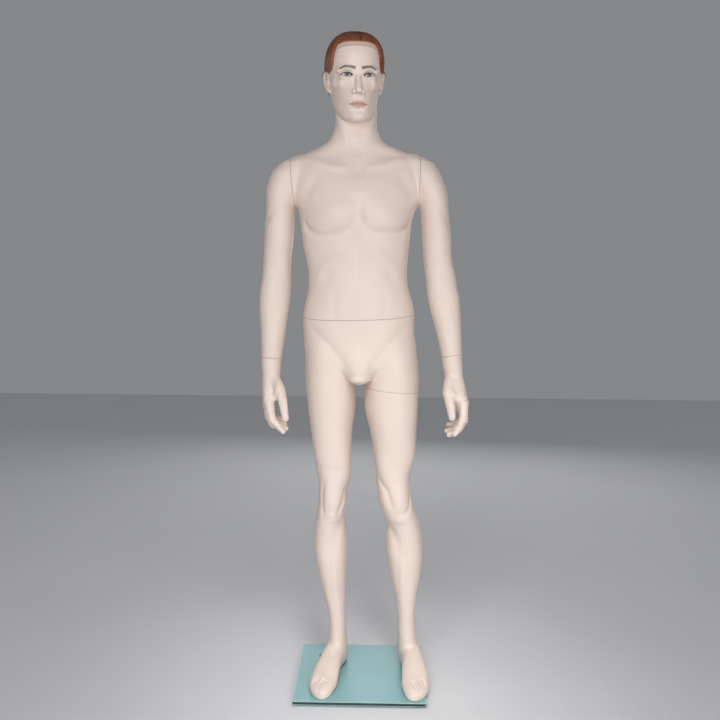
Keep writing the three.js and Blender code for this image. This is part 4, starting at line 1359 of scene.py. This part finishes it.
# ---------------------------------------------------------------- materials
class Look:
    """A material being put together node by node."""

    def __init__(self, name, colour, roughness, metallic=0.0, **sockets):
        self.material = bpy.data.materials.new(name)
        self.material.use_nodes = True
        self.tree = self.material.node_tree
        self.shader = next(n for n in self.tree.nodes if n.type == "BSDF_PRINCIPLED")
        self.shader.inputs["Base Color"].default_value = (*colour, 1)
        self.shader.inputs["Roughness"].default_value = roughness
        self.shader.inputs["Metallic"].default_value = metallic
        for socket, value in sockets.items():
            self.shader.inputs[socket.replace("_", " ")].default_value = value
        self.space = self.node("ShaderNodeTexCoord").outputs["Object"]

    def node(self, kind, inputs=None, **settings):
        node = self.tree.nodes.new(kind)
        for key, value in settings.items():
            setattr(node, key, value)
        for key, value in (inputs or {}).items():
            if isinstance(value, bpy.types.NodeSocket):
                self.tree.links.new(value, node.inputs[key])
            else:
                node.inputs[key].default_value = value
        return node

    def attribute(self, name, output):
        return self.node("ShaderNodeAttribute", attribute_name=name).outputs[output]

    def noise(self, scale, detail=3.0, space=None, stretch=None):
        space = space or self.space
        if stretch:
            space = self.node("ShaderNodeMapping", {"Vector": space, "Scale": stretch}).outputs["Vector"]
        inputs = {"Vector": space, "Scale": scale, "Detail": detail}
        return self.node("ShaderNodeTexNoise", inputs).outputs["Fac"]

    def spread(self, value, low, high, start=0.3, end=0.7):
        return self.node("ShaderNodeMapRange", {"Value": value, "From Min": start, "From Max": end,
                                                "To Min": low, "To Max": high}).outputs["Result"]

    def maths(self, operation, *values):
        return self.node("ShaderNodeMath", dict(enumerate(values)), operation=operation).outputs[0]

    def blend(self, share, a, b):
        """A number between a and b."""
        inputs = {"Factor": share, "A": a, "B": b}
        return self.node("ShaderNodeMix", inputs, data_type="FLOAT").outputs[0]

    def mix(self, share, a, b, blend="MIX"):
        """A colour between a and b."""
        node = self.node("ShaderNodeMix", data_type="RGBA", blend_type=blend)
        for index, value in ((0, share), (6, a), (7, b)):
            if isinstance(value, bpy.types.NodeSocket):
                self.tree.links.new(value, node.inputs[index])
            else:
                node.inputs[index].default_value = value if index == 0 else (*value, 1)
        return node.outputs[2]

    def tint(self, colour, scale, low, high):
        """A colour or socket whose brightness wanders between low and high."""
        return self.dimmed(colour, self.spread(self.noise(scale), low, high))

    def dimmed(self, colour, grey):
        scaled = self.node("ShaderNodeCombineColor", {0: grey, 1: grey, 2: grey}).outputs[0]
        return self.mix(1.0, colour, scaled, "MULTIPLY")

    def bump(self, height, strength, distance, under=None):
        inputs = {"Height": height, "Strength": strength, "Distance": distance}
        if under is not None:
            inputs["Normal"] = under
        return self.node("ShaderNodeBump", inputs).outputs["Normal"]

    def surface(self, colour, roughness, normal):
        """Links the shader's colour, roughness and normal, and gives back the material."""
        for socket, value in (("Base Color", colour), ("Roughness", roughness), ("Normal", normal)):
            self.tree.links.new(value, self.shader.inputs[socket])
        return self.material


def skin_look():
    look = Look("mannequin_skin_paint", SKIN, 0.45, Specular_IOR_Level=0.42)
    painted = look.attribute("paint", "Color")
    hair = look.attribute("hair", "Fac")
    strand = look.noise(1.0, 4.0, look.attribute("comb", "Vector"), (1300, 60, 60))
    shaded = look.tint(painted, 9, 0.975, 1.02)
    colour = look.mix(hair, shaded, look.dimmed(shaded, look.spread(strand, 0.62, 1.3)))
    roughness = look.blend(hair, look.spread(look.noise(55), 0.4, 0.5), look.spread(strand, 0.6, 0.8))
    spray = look.bump(look.noise(1500, 2.0), 0.12, 0.00012)
    strands = look.bump(look.maths("MULTIPLY", strand, hair), 0.55, 0.0009, spray)
    return look.surface(colour, roughness, strands)


def fibreglass_look():
    look = Look("raw_fibreglass", srgb(176, 170, 158), 0.8)
    mat = look.noise(140, 5.0, stretch=(1, 1, 3))
    colour = look.mix(look.spread(mat, 0, 1), srgb(150, 142, 128), srgb(196, 190, 176))
    return look.surface(colour, look.spread(mat, 0.65, 0.9), look.bump(mat, 0.6, 0.0008))


def board_look():
    look = Look("joint_board", srgb(176, 142, 100), 0.75)
    fibre = look.noise(420, 6.0)
    dark, light = (look.tint(srgb(*colour), 26, 0.9, 1.08) for colour in ((158, 124, 84), (192, 160, 118)))
    colour = look.mix(look.spread(fibre, 0, 1), dark, light)
    return look.surface(colour, look.spread(look.noise(30), 0.68, 0.86), look.bump(fibre, 0.35, 0.0002))


def metal_look(name, colour, roughness, metallic, scratch):
    look = Look(name, colour, roughness, metallic)
    brushed = look.bump(look.noise(90, 5.0, stretch=(1, 1, 14)), scratch, 0.0001)
    patchy = look.spread(look.noise(34), roughness - 0.08, roughness + 0.12)
    return look.surface(look.tint(colour, 60, 0.86, 1.1), patchy, brushed)


def rubber_look():
    look = Look("clear_rubber_foot", srgb(44, 46, 48), 0.75)
    grain = look.noise(700, 4.0)
    colour = look.tint(srgb(46, 48, 50), 80, 0.8, 1.25)
    return look.surface(colour, look.spread(grain, 0.65, 0.88), look.bump(grain, 0.3, 0.0002))


def glass_look():
    """Frosted float glass: a satin top with painted highlights along its arrises, round a deep green,
    see-through edge.
    """
    look = Look("frosted_glass", srgb(136, 186, 190), 0.3, IOR=1.5, Transmission_Weight=0.15)
    low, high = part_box("glass_base")
    xyz = look.node("ShaderNodeSeparateXYZ", {"Vector": look.space}).outputs
    reach = look.maths("MAXIMUM", look.maths("ABSOLUTE", xyz[0]), look.maths("ABSOLUTE", xyz[1]))
    # the border of the top and the top and bottom of the edge face take a painted highlight
    rim = look.spread(reach, 0, 1, high.x - 0.0026, high.x - 0.0012)
    side = look.spread(reach, 0, 1, high.x - 0.0006, high.x - 0.0002)
    from_top = look.spread(xyz[2], 0, 1, high.z - 0.0019, high.z - 0.0011)
    from_bottom = look.spread(xyz[2], 1, 0, low.z + 0.0007, low.z + 0.0014)
    satin = look.tint(srgb(144, 194, 198), 5, 0.95, 1.04)
    # painted highlight colour for the arrises
    arris_highlight = look.tint(srgb(196, 226, 222), 60, 0.9, 1.06)
    deep = look.tint(srgb(44, 62, 62), 40, 0.75, 1.25)
    # the edge face: deep green glass, with painted highlights at its top and bottom
    edge = look.mix(look.maths("MAXIMUM", from_top, from_bottom), deep, arris_highlight)
    colour = look.mix(side, look.mix(rim, satin, arris_highlight), edge)
    frost = look.noise(900)
    return look.surface(colour, look.blend(rim, look.spread(frost, 0.24, 0.4), 0.08),
                        look.bump(frost, 0.12, 0.0001))


# Rings of the painted eye: distance from the middle of the pupil, and colour.
IRIS = [(0.0, (14, 14, 16)), (0.2, (16, 17, 20)), (0.235, (74, 96, 112)), (0.38, (122, 144, 158)),
        (0.47, (60, 78, 92)), (0.5, (38, 46, 54)), (0.55, (226, 220, 214)), (1.0, (222, 205, 196))]


def eye_look():
    look = Look("painted_eye", srgb(236, 232, 226), 0.12, Coat_Weight=0.6, Coat_Roughness=0.04)
    ramp = look.node("ShaderNodeValToRGB", {"Fac": look.attribute("iris_reach", "Fac")})
    stops = ramp.color_ramp.elements
    while len(stops) < len(IRIS):
        stops.new(0.5)
    for stop, (place, colour) in zip(stops, IRIS):
        stop.position = place
        stop.color = (*srgb(*colour), 1)
    speckled = look.mix(1.0, ramp.outputs["Color"], look.tint((1, 1, 1), 900, 0.85, 1.12), "MULTIPLY")
    look.tree.links.new(speckled, look.shader.inputs["Base Color"])
    return look.material


def floor_look():
    look = Look("studio_floor", srgb(226, 226, 228), 0.9, Specular_IOR_Level=0.15)
    sockets = look.shader.inputs
    look.tree.links.new(look.tint(srgb(226, 226, 228), 2, 0.98, 1.01), sockets["Base Color"])
    look.tree.links.new(look.spread(look.noise(8), 0.86, 0.94), sockets["Roughness"])
    return look.material


# ---------------------------------------------------------------- pieces
skin = skin_look()
inside = fibreglass_look()


def height_above(z):
    return lambda centre: centre.z > z * MM


def height_below(z):
    return lambda centre: centre.z < z * MM


def add_section(name, points, quads, cuts):
    """Makes one removable section on the body of its name, in place of its shell."""
    bm = split(points, quads, cuts)
    smooth_faces(bm)
    piece = object_from(f"{name}_moulding", bm, skin, inside)
    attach(piece, name)
    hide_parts(f"{name}_shell")
    paint(piece)


def add_upper_body():
    points, quads = mesh_of(upper_field())
    points = relaxed(points, quads, 1)
    points = raise_relief(points, quads, trunk_relief())
    chest = points[:, 2] < HEAD_FROM_Z
    lifted = head_relief(points, quads)
    points = np.where(chest[:, None], points, lifted)
    for side in SHOULDERS:
        points = raise_relief(points, quads, arm_relief(side, SHOULDER_RELIEF))
    cuts = [(WAIST, True, height_below(1180), WAIST_WELLS["upper"])]
    for side in SHOULDERS:
        cuts.append((SHOULDERS[side], False, shoulder_zone(side), SHOULDER_WELLS["torso"]))
    add_section("upper_body", points, quads, cuts)


def shoulder_zone(side):
    return lambda centre: centre.z > 1300 * MM and centre.x * OUTWARD[side] > 80 * MM


def left_thigh_zone(centre):
    return centre.x > LEFT_LEG_FROM_X * MM and centre.z < 920 * MM


def add_legs():
    points, quads = mesh_of(lower_field())
    points = relaxed(points, quads, 1)
    relief = trunk_relief()
    for side in LEGS:
        relief = relief + leg_relief(side) + foot_relief(side)
    points = raise_relief(points, quads, relief)
    points[:, 2] = np.maximum(points[:, 2], SOLE_Z)
    add_section("lower_body", points, quads,
                [(WAIST, False, height_above(1000), WAIST_WELLS["lower"]),
                 (THIGH, False, left_thigh_zone, THIGH_WELLS["upper"])])
    points, quads = left_leg_only(points, quads)
    add_section("left_leg", points, quads, [(THIGH, True, None, THIGH_WELLS["lower"])])


def left_leg_only(points, quads):
    """The part of the lower body's mesh that is well within the left leg."""
    kept = ((points[:, 0] > LEFT_LEG_FROM_X) & (points[:, 2] < 905))[quads].all(axis=1)
    quads = quads[kept]
    used, quads = np.unique(quads, return_inverse=True)
    return points[used], quads.reshape(-1, 4)


def add_arm(side):
    points, quads = mesh_of(arm_field(side))
    points = relaxed(points, quads, 1)
    relief = arm_relief(side, SHOULDER_RELIEF + ARM_RELIEF) + trunk_relief()
    points = raise_relief(points, quads, relief)
    shoulder = (SHOULDERS[side], True, height_above(1300), SHOULDER_WELLS["arm"])
    wrist = (WRISTS[side], False, height_below(1040), WRIST_WELLS["arm"])
    add_section(f"{side}_arm", points, quads, [shoulder, wrist])


def add_hand(side):
    points, quads = mesh_of(hand_field(side))
    points = relaxed(points, quads, 2, 0.4)
    relief = arm_relief(side, SHOULDER_RELIEF + ARM_RELIEF) + hand_relief(side)
    points = raise_relief(points, quads, relief)
    add_section(f"{side}_hand", points, quads,
                [(WRISTS[side], True, height_above(930), WRIST_WELLS["hand"])])


EYE_RINGS, EYE_STEPS = 22, 56
CORNEA = 0.45


def ring_faces(bm, a, b):
    """Quads between two rings of an eye, or triangles where one of them is a single vertex."""
    for j in range(EYE_STEPS):
        k = (j + 1) % EYE_STEPS
        corners = [a[j], b[j], b[k], a[k]] if len(a) == len(b) else [a[0], b[j], b[k]]
        bm.faces.new(corners)


def add_eyes():
    """Two domed eyes with a slight cornea, behind the lids."""
    bm = bmesh.new()
    reach_layer = bm.verts.layers.float.new("iris_reach")

    def vert_at(s, polar, turn, radius):
        side = EYE_STRETCH * math.sin(polar) * math.cos(turn)
        up = math.sin(polar) * math.sin(turn)
        place = from_head(s * EYE_APART + radius * side, EYE_FORWARD + radius * math.cos(polar), radius * up)
        vert = bm.verts.new(Vector(place) * MM)
        vert[reach_layer] = math.hypot(side, up)
        return vert

    for s in (-1, 1):
        rings = []
        for i in range(1, EYE_RINGS + 1):
            polar = math.radians(80) * i / EYE_RINGS
            radius = EYE_RADIUS + CORNEA * math.exp(-(polar / 0.42) ** 4)
            rings.append([vert_at(s, polar, 2 * math.pi * j / EYE_STEPS, radius) for j in range(EYE_STEPS)])
        ring_faces(bm, [vert_at(s, 0, 0, EYE_RADIUS + CORNEA)], rings[0])
        for a, b in zip(rings, rings[1:]):
            ring_faces(bm, a, b)
        ring_faces(bm, [vert_at(s, 0, 0, 0)], rings[-1])
    smooth_faces(bm)
    eyes = object_from("painted_eyes", bm, eye_look())
    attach(eyes, "upper_body")


def dress_fittings():
    """Gives every carried-over fitting its material by the finish that the record names."""
    looks = {
        "joint_board": board_look(),
        "steel_fitting": metal_look("zinc_plated_steel", srgb(188, 190, 192), 0.34, 1.0, 0.25),
        "zinc_fastener": metal_look("bright_zinc", srgb(205, 205, 200), 0.26, 1.0, 0.12),
        "black_steel": metal_look("black_oxide_steel", srgb(30, 31, 34), 0.42, 0.7, 0.2),
        "rubber_foot": rubber_look(),
        "frosted_glass": glass_look(),
    }
    for subpart in frame["record"]["subparts"]:
        look = looks.get(subpart["material_slot"])
        if look is not None:
            mesh = frame["nodes"][subpart["node"]].data
            mesh.materials.clear()
            mesh.materials.append(look)


# ---------------------------------------------------------------- camera, light and floor
# Metres; yaw, pitch and roll in degrees; millimetres of lens and sensor.
CAMERA_AT = (0.0396, -2.4913, 1.2094)
CAMERA_TURN = (1.126, -5.654, 0.454)
LENS, SENSOR = 42.92, 36


def add_camera():
    yaw, pitch, roll = (math.radians(angle) for angle in CAMERA_TURN)
    ahead = Vector((-math.sin(yaw) * math.cos(pitch), math.cos(yaw) * math.cos(pitch), math.sin(pitch)))
    level = Vector((math.cos(yaw), math.sin(yaw), 0))
    upright = level.cross(ahead)
    right = level * math.cos(roll) + upright * math.sin(roll)
    up = upright * math.cos(roll) - level * math.sin(roll)
    camera = linked("camera", bpy.data.cameras.new("camera"))
    camera.data.lens = LENS
    camera.data.sensor_width = SENSOR
    basis = Matrix((right, up, -ahead)).transposed().to_4x4()
    camera.matrix_world = Matrix.Translation(CAMERA_AT) @ basis
    bpy.context.scene.camera = camera


# Area lights: place and aim in metres, width and height, watts, and spread in degrees.
LIGHTS = {
    "key": ((-0.8, -3.1, 2.1), (0, 0, 0.8), (1.3, 2.4), 42, 180),
    "fill": ((1.3, -3.0, 1.1), (0, 0, 0.5), (1.2, 2.0), 31, 180),
    "low": ((0.2, -1.7, 2.4), (0.03, -0.1, 0), (0.5, 0.5), 1.4, 36),
    "rear": ((0.3, 3.2, 2.0), (0, 0, 1.0), (2.6, 2.2), 22, 180),
}
SKY_COLOUR = (0.92, 0.94, 0.97, 1)
SKY_STRENGTH = 0.26
FLOOR_HALF_WIDTH = 6
FLOOR_GAP = 0.0005


def add_light(name, place, target, size, power, spread):
    lamp = linked(name, bpy.data.lights.new(name, "AREA"))
    lamp.data.shape = "RECTANGLE"
    lamp.data.size, lamp.data.size_y = size
    lamp.data.energy = power
    lamp.data.spread = math.radians(spread)
    lamp.location = place
    lamp.rotation_euler = (Vector(target) - Vector(place)).to_track_quat("-Z", "Y").to_euler()


def add_studio():
    for name, settings in LIGHTS.items():
        add_light(name, *settings)
    world = bpy.data.worlds.new("studio")
    world.use_nodes = True
    background = next(n for n in world.node_tree.nodes if n.type == "BACKGROUND")
    background.inputs["Color"].default_value = SKY_COLOUR
    background.inputs["Strength"].default_value = SKY_STRENGTH
    bpy.context.scene.world = world
    bpy.context.scene.view_settings.view_transform = "Standard"
    bm = bmesh.new()
    bmesh.ops.create_grid(bm, x_segments=8, y_segments=8, size=FLOOR_HALF_WIDTH)
    floor = object_from("floor", bm, floor_look())
    floor.location = (0, 0, cad_box[0][2] - FLOOR_GAP)
    floor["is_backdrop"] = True


add_camera()
add_upper_body()
add_legs()
for each_side in ("right", "left"):
    add_arm(each_side)
    add_hand(each_side)
add_eyes()
dress_fittings()
add_studio()

visual_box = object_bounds()
for title, corners in (("cad", cad_box), ("visual", visual_box)):
    json.dumps({title: [list(map(float, corner)) for corner in corners]}) + "\n"
